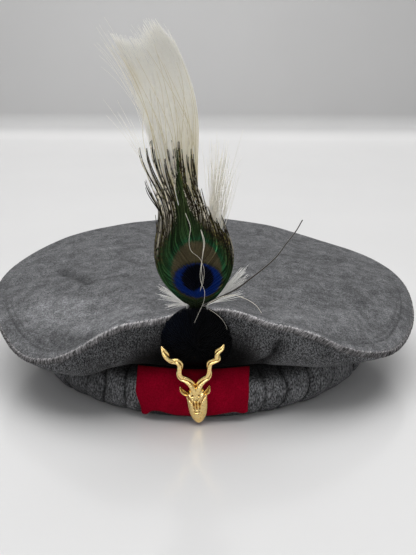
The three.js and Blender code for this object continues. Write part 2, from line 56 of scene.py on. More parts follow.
# Cloth, opening and roll
CLOTH = 2.4
SEAM_CLOTH = 1.5  # the same wool, pressed thin where it is sewn
GAP = 0.3  # clearance between pieces that touch
SEAM_LAYER = SEAM_CLOTH + GAP  # between the middles of the two sewn layers
OPENING_RADIUS = 88
TUBE_RADIUS = OPENING_RADIUS + CLOTH / 2
ROLL_WIDTH = 26.6
ROLL_HEIGHT = 29.3
ROLL_SQUASH = 1.2  # how far its round underside is pressed flat
ROLL_CENTRE = OPENING_RADIUS + CLOTH + GAP + ROLL_WIDTH / 2
ROLL_OUTER = ROLL_CENTRE + ROLL_WIDTH / 2
CREASE_INSET = 2
CREASE_RADIUS = ROLL_CENTRE - CREASE_INSET  # where the side leaves the top of the roll
CREASE_HEIGHT = ROLL_HEIGHT + GAP + CLOTH / 2

# Crown and side
CROWN_PEAK = 63
CROWN_ROUND = 3  # power of the fall from the centre to the seam
SEAM_SHARE = 0.98  # share of the radius where the sewn layers part
DRAPE = 7  # how far the side sags below a straight line from the roll to the seam
DRAPE_FROM = 112  # seam radius where the side is pulled straight
DRAPE_FULL = 136  # seam radius from which it sags in full
PADDED_EDGE = 0.55  # swell of the seam allowance under the crown's edge
# The sewn grooves: distance from the crown's edge, and share of the full depth
STITCH_LINES = [(7.6, 1), (10.8, 0.6)]
STITCH_DEEP = 1.3
CROWN_STITCHES = 210
SEAM_STITCHES = 560
LIP_INSET = 0.5
LIP_HALF = 1.35
LIP_DROP = 2.5
CROWN_EDGE_ROUND = 1.3
SIDE_END_ROUND = 0.014  # as a share of the side's line
# Front corners, where the grooves are deep and where the side is drawn tight: turn and half width
STITCHED_CORNERS = [(64, 24), (-52, 20)]
TIGHT_CORNERS = [(52, 20), (-46, 18)]
# The seam round the crown: turn, radius and height
SEAM = np.array([
    (0, 112.6, 69.6), (10, 114.2, 70.2), (14, 116.2, 68.1), (20, 120.7, 63.3), (26, 126, 60.3),
    (32, 132.4, 55), (38, 138.5, 47.1), (44, 142.6, 41), (50, 145.5, 36.8), (71, 146.5, 36.5),
    (93, 144, 45), (116, 143, 47), (138, 143, 47.5), (161, 142, 54), (183, 142, 57.5),
    (206, 142, 56.5), (228, 141, 56), (251, 141.5, 52.5), (273, 143, 49.5), (296, 145, 43.5),
    (319, 145, 37), (325, 142.3, 41.5), (331, 138, 49.7), (336, 131.8, 58.3), (340, 125.3, 62.5),
    (344, 119.3, 63.3), (350, 114, 65.3),
])
# Soft hollows in the crown: turn, share of the way to the seam, depth, and reach along and across
DENTS = [
    (272, 0.66, 3.2, 0.12, 22),
    (20, 0.7, 2.4, 0.16, 26),
    (128, 0.8, 2.2, 0.14, 16),
    (-36, 0.91, 2.4, 0.05, 12),
    (43, 0.92, 1.8, 0.045, 10),
]
# Short folds in the crown: the ends of each, its depth and its half width
CROWN_FOLDS = [
    ((-125, -21), (-110, -7), 0.9, 4),
    ((-110, -7), (-98, -5), 1, 3.4),
    ((-98, -7), (-76, -36), 2, 3.2),
    ((-92, -48), (-58, -60), 0.7, 5),
    ((66, -52), (98, -34), 0.8, 5),
    ((40, 30), (84, 12), 0.7, 7),
    ((-40, 62), (-8, 84), 0.8, 6),
]
# Painted light and painted shade on parts of the crown: the ends of each, its gain and its half width
CROWN_PAINTED_LIGHT_AND_SHADE = [
    ((-48, -96), (-88, -66), 0.62, 21),
    ((-96, -91), (-64, -112), -0.2, 8),
    ((-98, -9), (-78, -34), -0.2, 6),
    ((62, -92), (95, -74), 0.3, 14),
    ((78, -106), (102, -88), -0.14, 8),
    ((40, 10), (110, 0), -0.07, 30),
    ((-110, -60), (-118, -30), 0.1, 12),
]
# The side's cloth from its foot under the roll to the seam. In the tube: distance out and height
TUBE_LINE = [(5.4, 1.22), (2, 1.6), (0.2, 4.6), (0, 17), (2.4, 26.1), (7, 30.2)]
# From the roll to the seam: share of the way, then sag and bulge as shares of the drape, then of the pouch
SIDE_LINE = [
    (0, 0, 0, 0, 0),
    (0.35, 0.45, 0, 0.9, 0.3),
    (0.7, 1, 0.2, 1, 0.8),
    (0.93, 0.85, 0.25, 0.5, 0.3),
]
# Folds in the side: turn at the roll and at the seam, depth and half width
SIDE_FOLDS = [(19.6, 23.6, 3.4, 1.4), (24, 33, -0.8, 3), (-22, -29, 1, 3.2), (33, 42, 1, 3)]
# Where the side hangs in a pouch over the roll: turn, half width and depth
POUCHES = [(-20, 8.5, 6), (-33, 8, 5), (21, 8, 5.5), (34, 10, 5)]
# Where the side hangs in shade: turn, half width and depth
SIDE_SHADES = [(-14, 9, 0.42), (-27, 12, 0.1), (11, 5, 0.3)]

# Creases of the gathered roll, near the patch: turn, depth and lean
FRONT_CREASES = [
    (-45, 0.6, 3), (-37, 0.9, 3), (-30, 1.5, 2.4), (-22.3, 1.3, 1.6),
    (20, 1.2, 0.8), (27, 1.4, 2.6), (36, 1.5, 3.6), (46, 0.5, 4),
]
BACK_CREASES = 17
BACK_CREASES_FROM = 58
BACK_CREASES_TO = 310
ROLL_RIBS = 340

# Red patch, with its upper and lower edge as degrees up the roll's section
PATCH_TURN = 16.6
PATCH_MIDDLE = -1.4
PATCH_TOP = 81.5
PATCH_BOTTOM = -41
PATCH_CLOTH = 1.2
PATCH_CURL = 1.6
PATCH_EDGE_ROUND = 0.9
PATCH_FLAT = (68, 31.5)
# Its uneven hem: share of the way across, and degrees up the roll from the bottom
PATCH_HEM = np.array([
    (-1, 3), (-0.9, 1), (-0.79, 13), (-0.57, 15), (-0.44, 9), (-0.27, 1), (-0.1, 1),
    (0.1, 1), (0.41, 4.5), (0.56, 9), (0.78, 15), (0.93, 11), (1, 15),
])


# Numbers and curves


def lerp(start, end, share):
    return start + (end - start) * share


def shares(count):
    """Even shares from 0 to 1, in a row."""
    return np.linspace(0, 1, count)[None, :]


def smoothstep(value, low, high):
    share = np.clip((np.asarray(value, float) - low) / (high - low), 0, 1)
    return share * share * (3 - 2 * share)


def bump(distance, reach):
    return np.exp(-((distance / reach) ** 2))


def rounded(edge):
    """Share of its full thickness that cloth has near a round edge."""
    return np.sqrt(1 - (1 - np.clip(edge, 0, 1)) ** 2)


def turn_between(turn, other):
    """Signed turn from one to the other, by the shorter way."""
    return (turn - other + 180) % 360 - 180


def at_turn(turn, place, reach):
    """A bump round the hat, at the turn of its place."""
    return bump(turn_between(turn, place), reach)


def full_turn(count, whole=360):
    return np.linspace(0, whole, count, endpoint=False)


def polar(turn, radius, height):
    angle = np.radians(turn)
    return np.stack(np.broadcast_arrays(radius * np.sin(angle), -radius * np.cos(angle), height), -1)


def unit(vectors):
    return vectors / np.linalg.norm(vectors, axis=-1, keepdims=True)


def rotated(points, angle, first, second):
    """Points turned from one axis towards another."""
    points = np.array(points, float)
    a = points[..., first].copy()
    b = points[..., second].copy()
    points[..., first] = a * math.cos(angle) - b * math.sin(angle)
    points[..., second] = a * math.sin(angle) + b * math.cos(angle)
    return points


def segment_distance(x, y, start, end):
    (ax, ay), (bx, by) = start, end
    length = math.hypot(bx - ax, by - ay)
    share = np.clip(((x - ax) * (bx - ax) + (y - ay) * (by - ay)) / length**2, 0, 1)
    return np.hypot(x - lerp(ax, bx, share), y - lerp(ay, by, share))


def curve(table, at, column=1, period=None):
    """A smooth curve through a column of a table against its first column, closed where it has a period."""
    knots = table[:, 0]
    values = table[:, column]
    if period:
        knots = np.concatenate([knots[-2:] - period, knots, knots[:2] + period])
        values = np.concatenate([values[-2:], values, values[:2]])
        at = np.mod(at, period)
    slopes = np.gradient(values, knots)
    span = np.clip(np.searchsorted(knots, at, side="right") - 1, 0, len(knots) - 2)
    width = knots[span + 1] - knots[span]
    t = np.clip((at - knots[span]) / width, 0, 1)
    start = (1 + 2 * t) * (1 - t) ** 2 * values[span] + t * (1 - t) ** 2 * width * slopes[span]
    end = t * t * (3 - 2 * t) * values[span + 1] + t * t * (t - 1) * width * slopes[span + 1]
    return start + end


def lengths_along(points):
    steps = np.linalg.norm(np.diff(points, axis=0), axis=1)
    return np.concatenate([[0], np.cumsum(steps)])


def smooth_path(points, steps):
    """A smooth curve through given points."""
    table = np.column_stack([lengths_along(points), points])
    at = np.linspace(0, table[-1, 0], steps)
    return np.stack([curve(table, at, column) for column in range(1, table.shape[1])], -1)


def bezier(start, bend, end, steps):
    """Curves from start to end points, drawn towards bend points, as rows of points."""
    t = shares(steps)[..., None]
    start, bend, end = (np.asarray(p, float)[:, None, :] for p in (start, bend, end))
    return (1 - t) ** 2 * start + 2 * t * (1 - t) * bend + t * t * end


def lumps(points, wavelength, seed, waves=24):
    """Soft seeded unevenness, of about unit size."""
    rng = np.random.default_rng(seed)
    ways = unit(rng.normal(size=(waves, 3)))
    lengths = wavelength * rng.uniform(0.7, 1.5, waves)
    phases = rng.uniform(0, 2 * np.pi, waves)
    waves_at = np.sin(points @ (ways.T * (2 * np.pi / lengths)) + phases)
    return waves_at.sum(-1) / math.sqrt(waves / 2)


# Faces and pieces


def grid_faces(rows, columns, loop_rows=False, loop_columns=True):
    """Faces of a grid of points that is stored row by row."""
    row = np.arange(rows if loop_rows else rows - 1)[:, None] * columns
    column = np.arange(columns if loop_columns else columns - 1)[None, :]
    next_row = (row + columns) % (rows * columns)
    next_column = (column + 1) % columns
    corners = [row + column, row + next_column, next_row + next_column, next_row + column]
    return np.stack(corners, -1).reshape(-1, 4).tolist()


def tube_faces(rows, columns):
    """Faces of a tube with a flat cap at each end."""
    last = (rows - 1) * columns
    return grid_faces(rows, columns) + [list(range(columns)), list(range(last, last + columns))]


def closed_plate(front, back):
    """A closed shell between a front and a back grid of points."""
    rows, columns = front.shape[:2]
    count = rows * columns
    plate = grid_faces(rows, columns, loop_columns=False)
    rim = list(range(columns))
    rim += [i * columns + columns - 1 for i in range(1, rows)]
    rim += [(rows - 1) * columns + j for j in range(columns - 2, -1, -1)]
    rim += [i * columns for i in range(rows - 2, 0, -1)]
    faces = plate + [[corner + count for corner in reversed(quad)] for quad in plate]
    faces += [[a, a + count, b + count, b] for a, b in zip(rim, rim[1:] + rim[:1])]
    return np.concatenate([front.reshape(-1, 3), back.reshape(-1, 3)]), faces


def strands(paths, half, deep):
    """Closed three-sided strands along paths, one row of points each, with a keel that faces forward."""
    count, steps = paths.shape[:2]
    forward = np.array([0, -1, 0])
    along = unit(np.gradient(paths, axis=1))
    out = unit(forward - along * (forward * along).sum(2, keepdims=True))
    side = np.cross(along, out) * np.broadcast_to(half, (count, steps))[..., None]
    out = out * np.broadcast_to(deep, (count, steps))[..., None]
    points = np.stack([paths - side - out / 2, paths + side - out / 2, paths + out], 2).reshape(-1, 3)
    first = (np.arange(count) * steps * 3)[:, None, None]
    base = first + (np.arange(steps - 1) * 3)[None, :, None]
    corner = np.arange(3)
    after = (corner + 1) % 3
    sides = np.stack([base + corner, base + after, base + after + 3, base + corner + 3], -1).reshape(-1, 4)
    starts = first[:, 0] + corner[::-1]
    ends = first[:, 0] + (steps - 1) * 3 + corner
    return points, sides.tolist() + starts.tolist() + ends.tolist()


def joined(*parts):
    """Several sets of points and faces as one."""
    points = []
    faces = []
    offset = 0
    for part_points, part_faces in parts:
        points.append(part_points)
        faces.extend([[corner + offset for corner in face] for face in part_faces])
        offset += len(part_points)
    return np.concatenate(points), faces


def to_frame(points):
    """Points of the hat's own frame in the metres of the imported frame."""
    return np.asarray(points) * MM + HAT_AXIS


def add_object(name, data):
    thing = bpy.data.objects.new(name, data)
    bpy.context.scene.collection.objects.link(thing)
    return thing


def solid_mesh(name, points, faces):
    """A mesh with its faces turned outward, from points in metres."""
    mesh = bpy.data.meshes.new(name)
    mesh.from_pydata(points.tolist(), [], faces)
    work = bmesh.new()
    work.from_mesh(mesh)
    bmesh.ops.recalc_face_normals(work, faces=work.faces)
    work.to_mesh(mesh)
    work.free()
    return mesh


PIECES = bpy.data.collections.new("pieces")  # all that the front light is mirrored in


def add_mesh(mesh, colours, material, slot, *nodes):
    """A piece that rides with the hat and stands for the CAD nodes named.

    Its material reads a colour or grey for each point, where there are any, by the name tint.
    """
    mesh.shade_smooth()
    mesh.materials.append(material)
    piece = add_object(mesh.name, mesh)
    PIECES.objects.link(piece)
    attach(piece, "root")
    if nodes:
        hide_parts(*nodes)
    if colours is not None:
        rgba = np.ones((len(mesh.vertices), 4), np.float32)
        rgba[:, :3] = colours if colours.ndim == 2 else colours[:, None]
        tint = mesh.color_attributes.new("tint", "FLOAT_COLOR", "POINT")
        tint.data.foreach_set("color", rgba.ravel())
    return piece


def add_piece(name, points, faces, colours, material, slot, *nodes):
    return add_mesh(solid_mesh(name, to_frame(points), faces), colours, material, slot, *nodes)


# Materials


class Look:
    """A material in the making: its node tree and its shader."""

    def __init__(self, name, **settings):
        self.material = bpy.data.materials.new(name)
        self.material.use_nodes = True
        self.tree = self.material.node_tree
        self.shader = self.tree.nodes["Principled BSDF"]
        self.set(**settings)

    def set(self, **settings):
        for socket, value in settings.items():
            self.feed(self.shader.inputs[socket.replace("_", " ")], value)

    def feed(self, socket, value):
        if isinstance(value, bpy.types.NodeSocket):
            self.tree.links.new(value, socket)
        else:
            socket.default_value = value

    def node(self, kind, inputs, **properties):
        node = self.tree.nodes.new("ShaderNode" + kind)
        for key, value in properties.items():
            setattr(node, key, value)
        for socket, value in inputs.items():
            self.feed(node.inputs[socket], value)
        return node

    def place(self, stretch=(1, 1, 1)):
        place = self.node("TexCoord", {}).outputs["Object"]
        return self.node("Mapping", {"Vector": place, "Scale": stretch}).outputs["Vector"]

    def tint(self):
        """The colours painted point by point."""
        return self.node("Attribute", {}, attribute_name="tint").outputs["Color"]

    def noise(self, place, size, detail=2, roughness=0.5, distortion=0):
        """Noise with features of about a size in millimetres."""
        inputs = {"Vector": place, "Scale": 1 / (size * MM), "Detail": detail}
        inputs |= {"Roughness": roughness, "Distortion": distortion}
        return self.node("TexNoise", inputs).outputs["Fac"]

    def ramp(self, factor, *stops):
        """A ramp through stops, each a position and a colour or grey."""
        node = self.node("ValToRGB", {"Fac": factor})
        elements = node.color_ramp.elements
        while len(elements) < len(stops):
            elements.new(0.5)
        for element, (position, colour) in zip(elements, stops):
            element.position = position
            element.color = (*(np.ones(3) * colour), 1)
        return node.outputs["Color"]

    def fade(self, value, low, high, start=0, end=1):
        inputs = {"Value": value, "From Min": low, "From Max": high, "To Min": start, "To Max": end}
        return self.node("MapRange", inputs, interpolation_type="SMOOTHSTEP").outputs["Result"]

    def sum(self, first, second):
        return self.node("Math", {0: first, 1: second}, operation="ADD").outputs[0]

    def mix(self, first, second, factor=1, blend="MULTIPLY"):
        inputs = {0: factor, 6: first, 7: second}
        return self.node("Mix", inputs, data_type="RGBA", blend_type=blend).outputs[2]

    def relief(self, height, distance, strength):
        inputs = {"Height": height, "Distance": distance * MM, "Strength": strength}
        self.set(Normal=self.node("Bump", inputs).outputs["Normal"])


WOOL_TINT = np.array([0.985, 0.995, 1.03])


def wool(name, levels, stretch=(1, 1, 1), grain_size=1, contrast=1, blotch=0.1, blotch_size=5):
    """Heathered felt: light and dark fibres, pale flecks, a soft mottle, and painted light and shade for each
    point.
    """
    look = Look(name, Roughness=0.95, Sheen_Weight=0.03, Sheen_Roughness=0.5, Specular_IOR_Level=0.04)
    place = look.place()
    drawn = look.place(stretch)
    grain = look.noise(drawn, grain_size, 3, 0.65)
    mottle = look.noise(place, 16, 4, 0.65, 0.4)
    matted = look.noise(place, blotch_size, 3, 0.6, 0.2)
    fibre = look.noise(drawn, 0.7, 2, 0.6, 1.5)
    spread = 0.13 / contrast
    dark, middle, light = (level * WOOL_TINT for level in levels)
    base = look.ramp(grain, (0.5 - spread, dark), (0.5, middle), (0.5 + spread, light))
    base = look.mix(base, look.ramp(mottle, (0.32, 0.68), (0.68, 1.1)))
    base = look.mix(base, look.ramp(matted, (0.34, 1 - blotch), (0.66, 1 + blotch / 2)))
    base = look.mix(base, look.ramp(fibre, (0.62, 0), (0.74, 0.34 * contrast)), 0.3, "SCREEN")
    look.set(Base_Color=look.mix(base, look.tint()))
    look.relief(look.sum(grain, fibre), 0.5, 0.55)
    return look.material


def red_felt():
    look = Look("red_felt", Roughness=0.95, Sheen_Weight=0.05, Sheen_Roughness=0.5, Specular_IOR_Level=0.02)
    place = look.place()
    nap = look.noise(place, 0.8, 3, 0.6)
    base = look.ramp(nap, (0.35, (0.19, 0.0007, 0.009)), (0.68, (0.315, 0.002, 0.02)))
    shade = look.ramp(look.noise(place, 9), (0.3, 0.85), (0.7, 1))
    look.set(Base_Color=look.mix(base, shade), Sheen_Tint=(0.6, 0.02, 0.06, 1))
    look.relief(nap, 0.25, 0.4)
    return look.material


def gilt():
    look = Look("gilt", Metallic=1)
    place = look.place()
    cast = look.noise(place, 1.2, 3, 0.55)
    base = look.ramp(cast, (0.3, (0.95, 0.63, 0.21)), (0.58, (1, 0.78, 0.36)))
    worn = look.ramp(look.noise(place, 6), (0.3, 0.1), (0.7, 0.2))
    look.set(Base_Color=look.mix(base, look.tint()), Roughness=worn)
    look.relief(cast, 0.4, 0.55)
    return look.material


def barb_paint(name, roughness, specular, variation, **settings):
    """Barbs and yarns that take their colour point by point, with a fine broken grain along them."""
    look = Look(name, Roughness=roughness, Specular_IOR_Level=specular, **settings)
    grain = look.noise(look.place(), 0.9, 2, 0.6)
    broken = look.ramp(grain, (0.3, 1 - variation), (0.65, 1))
    look.set(Base_Color=look.mix(look.tint(), broken))
    return look.material


def pale_ground():
    """A pale floor, glossy near the hat, and the wall behind it a little greyer."""
    look = Look("pale_ground", Roughness=0.16)
    place = look.place()
    base = look.ramp(look.noise(place, 160), (0.3, (0.825, 0.82, 0.815)), (0.7, (0.845, 0.84, 0.835)))
    ways = look.node("SeparateXYZ", {"Vector": place}).outputs
    behind = look.sum(ways["Y"], ways["Z"])
    wall = look.ramp(look.fade(behind, 0.92, 1.07), (0, 1), (1, 0.72))
    look.set(Base_Color=look.mix(base, wall), Specular_IOR_Level=look.fade(behind, -0.1, 0.9, 0.9, 0))
    return look.material


# One grey wool in three copies; the side's and the roll's are darker than the crown's, which is painted shade
CROWN_WOOL = wool("crown_wool", (0.092, 0.164, 0.25), contrast=0.9, blotch=0.3, blotch_size=6)
SIDE_WOOL = wool("side_wool", (0.02, 0.081, 0.215), (1.3, 1.3, 0.8), grain_size=0.8, contrast=1.15)
ROLL_WOOL = wool("roll_wool", (0.036, 0.129, 0.305), (1.2, 1.2, 0.5))
SEAM_WOOL = barb_paint("seam_wool", 0.95, 0.05, 0.45)
RED_FELT = red_felt()
GILT = gilt()
BLACK_HACKLE = barb_paint("black_hackle", 0.5, 0.05, 0.4)
PEACOCK = barb_paint("peacock_barbs", 0.5, 0.04, 0.3)
WHITE_FEATHER = barb_paint("white_barbs", 0.7, 0.3, 0.03, Sheen_Weight=0.5, Sheen_Roughness=0.4)


# Crown, side and seam


def seam_radius(turn):
    return curve(SEAM, turn, 1, 360)


def seam_height(turn):
    return curve(SEAM, turn, 2, 360)


def crown_distance(turn, share, start, end):
    """Distance on the crown from a line, seen from above."""
    place = polar(turn, seam_radius(turn) * share, 0)
    return segment_distance(place[..., 0], place[..., 1], start, end)


def crown_folds(turn, share):
    """Height of the crown's short folds, and how near their valleys are."""
    height = 0
    valley = 0
    for start, end, depth, half in CROWN_FOLDS:
        distance = crown_distance(turn, share, start, end)
        height = height - depth * bump(distance, half) + 0.45 * depth * bump(distance - 2.4 * half, half)
        valley = np.maximum(valley, depth * bump(distance, half))
    return height, valley


def crown_middle(turn, share):
    """Height of the middle of the crown's cloth, with its hollows and folds."""
    height = lerp(CROWN_PEAK, seam_height(turn), share**CROWN_ROUND)
    for dent_turn, dent_share, depth, along, across in DENTS:
        height -= depth * at_turn(turn, dent_turn, across) * bump(share - dent_share, along)
    return height + crown_folds(turn, share)[0]


def stitch_groove(turn, edge):
    """The sewn grooves inside the crown's edge, deepest at the front corners and drawn in at stitches."""
    corner = sum(at_turn(turn, place, half) for place, half in STITCHED_CORNERS)
    stitch = 0.7 + 0.3 * np.sin(np.radians(turn) * CROWN_STITCHES)
    grooves = sum(depth * bump(edge - line, 0.75) for line, depth in STITCH_LINES)
    return (0.16 + 0.84 * np.clip(corner, 0, 1)) * stitch * grooves


def crown_face(turn, share, side):
    """The crown's upper face, where side is 1, or its plainer lower face, where side is -1."""
    radius = seam_radius(turn)
    edge = radius * (1 - share)
    cloth = lerp(CLOTH, SEAM_CLOTH, smoothstep(share, 0.86, SEAM_SHARE))
    height = crown_middle(turn, share) + side * cloth / 2 * rounded(edge / CROWN_EDGE_ROUND)
    if side > 0:
        height += PADDED_EDGE * bump(edge - 3.6, 2.2) * (1 - 0.7 * at_turn(turn, 5, 36))
        height -= STITCH_DEEP * stitch_groove(turn, edge)
    points = polar(turn, radius * share, height)
    points[..., 2] += smoothstep(edge, 0, 14) * (0.9 * lumps(points, 42, 3) + 0.3 * lumps(points, 15, 4))
    return points.reshape(-1, 3)


def crown_felt():
    columns = 420
    turn = full_turn(columns)[None, :]
    fine = np.concatenate([np.linspace(0.03, 0.86, 44), np.linspace(0.868, 1, 44)])[:, None]
    coarse = np.concatenate([np.linspace(1, 0.97, 6), np.linspace(0.94, 0.03, 18)])[1:, None]
    upper = crown_face(turn, fine, 1)
    lower = crown_face(turn, coarse, -1)
    top_centre = upper[:columns].mean(0)
    under_centre = lower[-columns:].mean(0)
    points = np.concatenate([upper, lower, [top_centre, under_centre]])
    faces = grid_faces(len(fine) + len(coarse), columns)
    under = len(upper) + len(lower) - columns
    for ring, centre in ((0, len(points) - 2), (under, len(points) - 1)):
        faces += [[ring + i, ring + (i + 1) % columns, centre] for i in range(columns)]

    edge = seam_radius(turn) * (1 - fine)
    # Painted shade in the stitch grooves and along the folds' valleys, and a painted highlight along the
    # crown's front edge
    shade = 1 - 0.45 * stitch_groove(turn, edge) - 0.13 * crown_folds(turn, fine)[1]
    shade = shade + 0.5 * bump(edge - 0.6, 3) * at_turn(turn, 0, 46)
    # Painted light and shade on parts of the crown
    for start, end, gain, half in CROWN_PAINTED_LIGHT_AND_SHADE:
        shade = shade * (1 + gain * bump(crown_distance(turn, fine, start, end), half))
    shade = np.concatenate([shade.ravel(), np.ones(len(points) - shade.size)])
    add_piece("crown_felt", points, faces, shade, CROWN_WOOL, "grey_wool", "crown_top")


def side_line(turn, steps):
    """Middle line of the side's cloth at one turn, and each point's share of the way to the seam."""
    radius = seam_radius(turn)
    pouch = sum(deep * at_turn(turn, place, half) for place, half, deep in POUCHES)
    corner = sum(at_turn(turn, place, half) for place, half in TIGHT_CORNERS)
    drape = DRAPE * smoothstep(radius, DRAPE_FROM, DRAPE_FULL) * (1 - 0.65 * corner)
    front = 1 - smoothstep(np.abs(turn_between(turn, 0)), 48, 75)
    part_share = lerp(SEAM_SHARE, 0.996, front)
    part_radius = radius * part_share
    part_height = crown_middle(turn, part_share) - SEAM_LAYER
    line = [(TUBE_RADIUS + out, height) for out, height in TUBE_LINE]
    for share, sag, bulge, pouch_sag, pouch_bulge in SIDE_LINE:
        out = lerp(CREASE_RADIUS, part_radius, share) + bulge * drape + pouch_bulge * pouch
        line.append((out, lerp(CREASE_HEIGHT, part_height, share) - sag * drape - pouch_sag * pouch))
    line.append((part_radius, part_height))
    line.append((radius, seam_height(turn) - SEAM_LAYER))
    lengths = lengths_along(line)
    crease = lengths[len(TUBE_LINE)] / lengths[-1]
    return smooth_path(line, steps), np.clip((shares(steps)[0] - crease) / (1 - crease), 0, 1)


def side_fold(turn, wall):
    """How far the side is drawn in by its folds, and the painted shade of its creases and of the wool in
    shadow, with painted light just under the seam.
    """
    window = smoothstep(wall, 0.03, 0.25) * (1 - smoothstep(wall, 0.72, 0.93))
    depth = sum(deep * at_turn(turn, lerp(low, high, wall), half) for low, high, deep, half in SIDE_FOLDS)
    angle = np.radians(turn)
    wave = 0.5 * np.sin(11 * angle + 4 * wall) + 0.3 * np.sin(23 * angle - 5 * wall)
    near = smoothstep(26 - abs(turn_between(turn, -1)), 0, 11)
    foot = smoothstep(wall, lerp(0.05, 0.3, near), lerp(0.4, 0.82, near))
    # Painted shade in the creases and, near the patch, at the side's foot; painted light just under the
    # seam's lip
    shade = 1 - 0.26 * np.clip(window * depth, 0, 3)
    shade = shade * lerp(lerp(0.5, 0.06, near), 1, foot) * lerp(1, 1.7, smoothstep(wall, 0.86, 0.98))
    for place, half, deep in SIDE_SHADES:
        shade = shade * (1 - deep * at_turn(turn, place, half))
    return window * (depth + 0.8 * wave), shade


def side_felt():
    columns = 400
    steps = 60
    ends = rounded(np.minimum(shares(steps)[0], 1 - shares(steps)[0]) / SIDE_END_ROUND)
    sections = []
    shades = []
    for turn in full_turn(columns):
        path, wall = side_line(turn, steps)
        along = unit(np.gradient(path, axis=0))
        outward = np.stack([along[:, 1], -along[:, 0]], -1)
        fold, shade = side_fold(turn, wall)
        path = path - outward * fold[:, None]
        cloth = lerp(CLOTH, SEAM_CLOTH, smoothstep(wall, 0.8, 0.97))
        half = (cloth / 2 * np.maximum(ends, 0.1))[:, None]
        section = np.concatenate([path + outward * half, (path - outward * half)[::-1]])
        sections.append(polar(turn, section[:, 0], np.maximum(section[:, 1], 0)))
        shades.append(np.concatenate([shade, shade[::-1]]))
    faces = grid_faces(columns, 2 * steps, loop_rows=True)
    points = np.concatenate(sections)
    add_piece("side_felt", points, faces, np.concatenate(shades), SIDE_WOOL, "grey_wool", "crown_side")


def seam_edge():
    """The whipped edge that holds crown and side together: a lip of short slanted stitches over the side."""
    steps = 2800
    sides = 12
    turn = full_turn(steps)
    centre = polar(turn, seam_radius(turn) - LIP_INSET, seam_height(turn) - SEAM_LAYER / 2)
    along = unit(np.roll(centre, -1, 0) - np.roll(centre, 1, 0))
    out = polar(turn, 1, 0)
    out = unit(out - along * (out * along).sum(1, keepdims=True))
    up = np.cross(out, along)
    angle = full_turn(sides, 2 * np.pi)[None, :]
    rng = np.random.default_rng(11)
    phase = np.cumsum(rng.uniform(0.5, 1.5, steps))
    phase *= 2 * np.pi * SEAM_STITCHES / phase[-1]
    twist = np.cos(2 * angle - phase[:, None])
    grain = rng.normal(0, 1, (steps, sides))
    slant = (grain + np.roll(grain, 1, 0) + np.roll(grain, (2, 1), (0, 1))) / 3**0.5
    sine = np.sin(angle)
    reach = 1 + 0.06 * twist + 0.08 * slant
    across = reach * LIP_HALF * np.cos(angle)
    tall = reach * np.where(sine > 0, LIP_HALF, LIP_DROP) * sine
    points = centre[:, None] + across[..., None] * out[:, None] + tall[..., None] * up[:, None]
    # Painted light on the lip's top and front, strongest at the front of the hat, and painted shade on its
    # underside; the slanted strokes and the twist are the stitches' own grain
    front = lerp(0.16, 1, at_turn(turn, 0, 35))[:, None]
    level = 0.11 + front * lerp(0.1, 0.56, smoothstep(sine, 0.25, 0.9))
    shade = level * (1 + 0.55 * slant + 0.12 * twist) * lerp(0.6, 1, smoothstep(sine, -1, -0.6))
    colours = np.clip(shade, 0.025, 0.8).reshape(-1, 1) * (1.02, 0.99, 1)
    faces = grid_faces(steps, sides, loop_rows=True)
    add_piece("seam_edge", points.reshape(-1, 3), faces, colours, SEAM_WOOL, "grey_wool")


# Rolled brim and red patch


def roll_creases():
    rng = np.random.default_rng(23)
    step = (BACK_CREASES_TO - BACK_CREASES_FROM) / (BACK_CREASES - 1)
    turns = BACK_CREASES_FROM + step * (np.arange(BACK_CREASES) + rng.uniform(-0.42, 0.42, BACK_CREASES))
    depths = rng.uniform(0.5, 2.4, BACK_CREASES)
    leans = rng.normal(0, 3, BACK_CREASES)
    return FRONT_CREASES + list(zip(turns, depths, leans))


def roll_section(angle, margin=0, crease=0):
    """Radius and height of the roll's section at an angle, grown by a margin and drawn in by a crease."""
    sine = np.sin(angle)
    cosine = np.cos(angle)
    crease = crease * smoothstep(cosine, -0.2, 0.45)
    squash = np.where(sine < 0, ROLL_SQUASH, 0)
    tall = ROLL_HEIGHT / 2 + margin + squash - crease * np.maximum(sine, 0)
    radius = ROLL_CENTRE + (ROLL_WIDTH / 2 + margin - crease) * cosine
    return radius, np.maximum(ROLL_HEIGHT / 2 + tall * sine, 0)


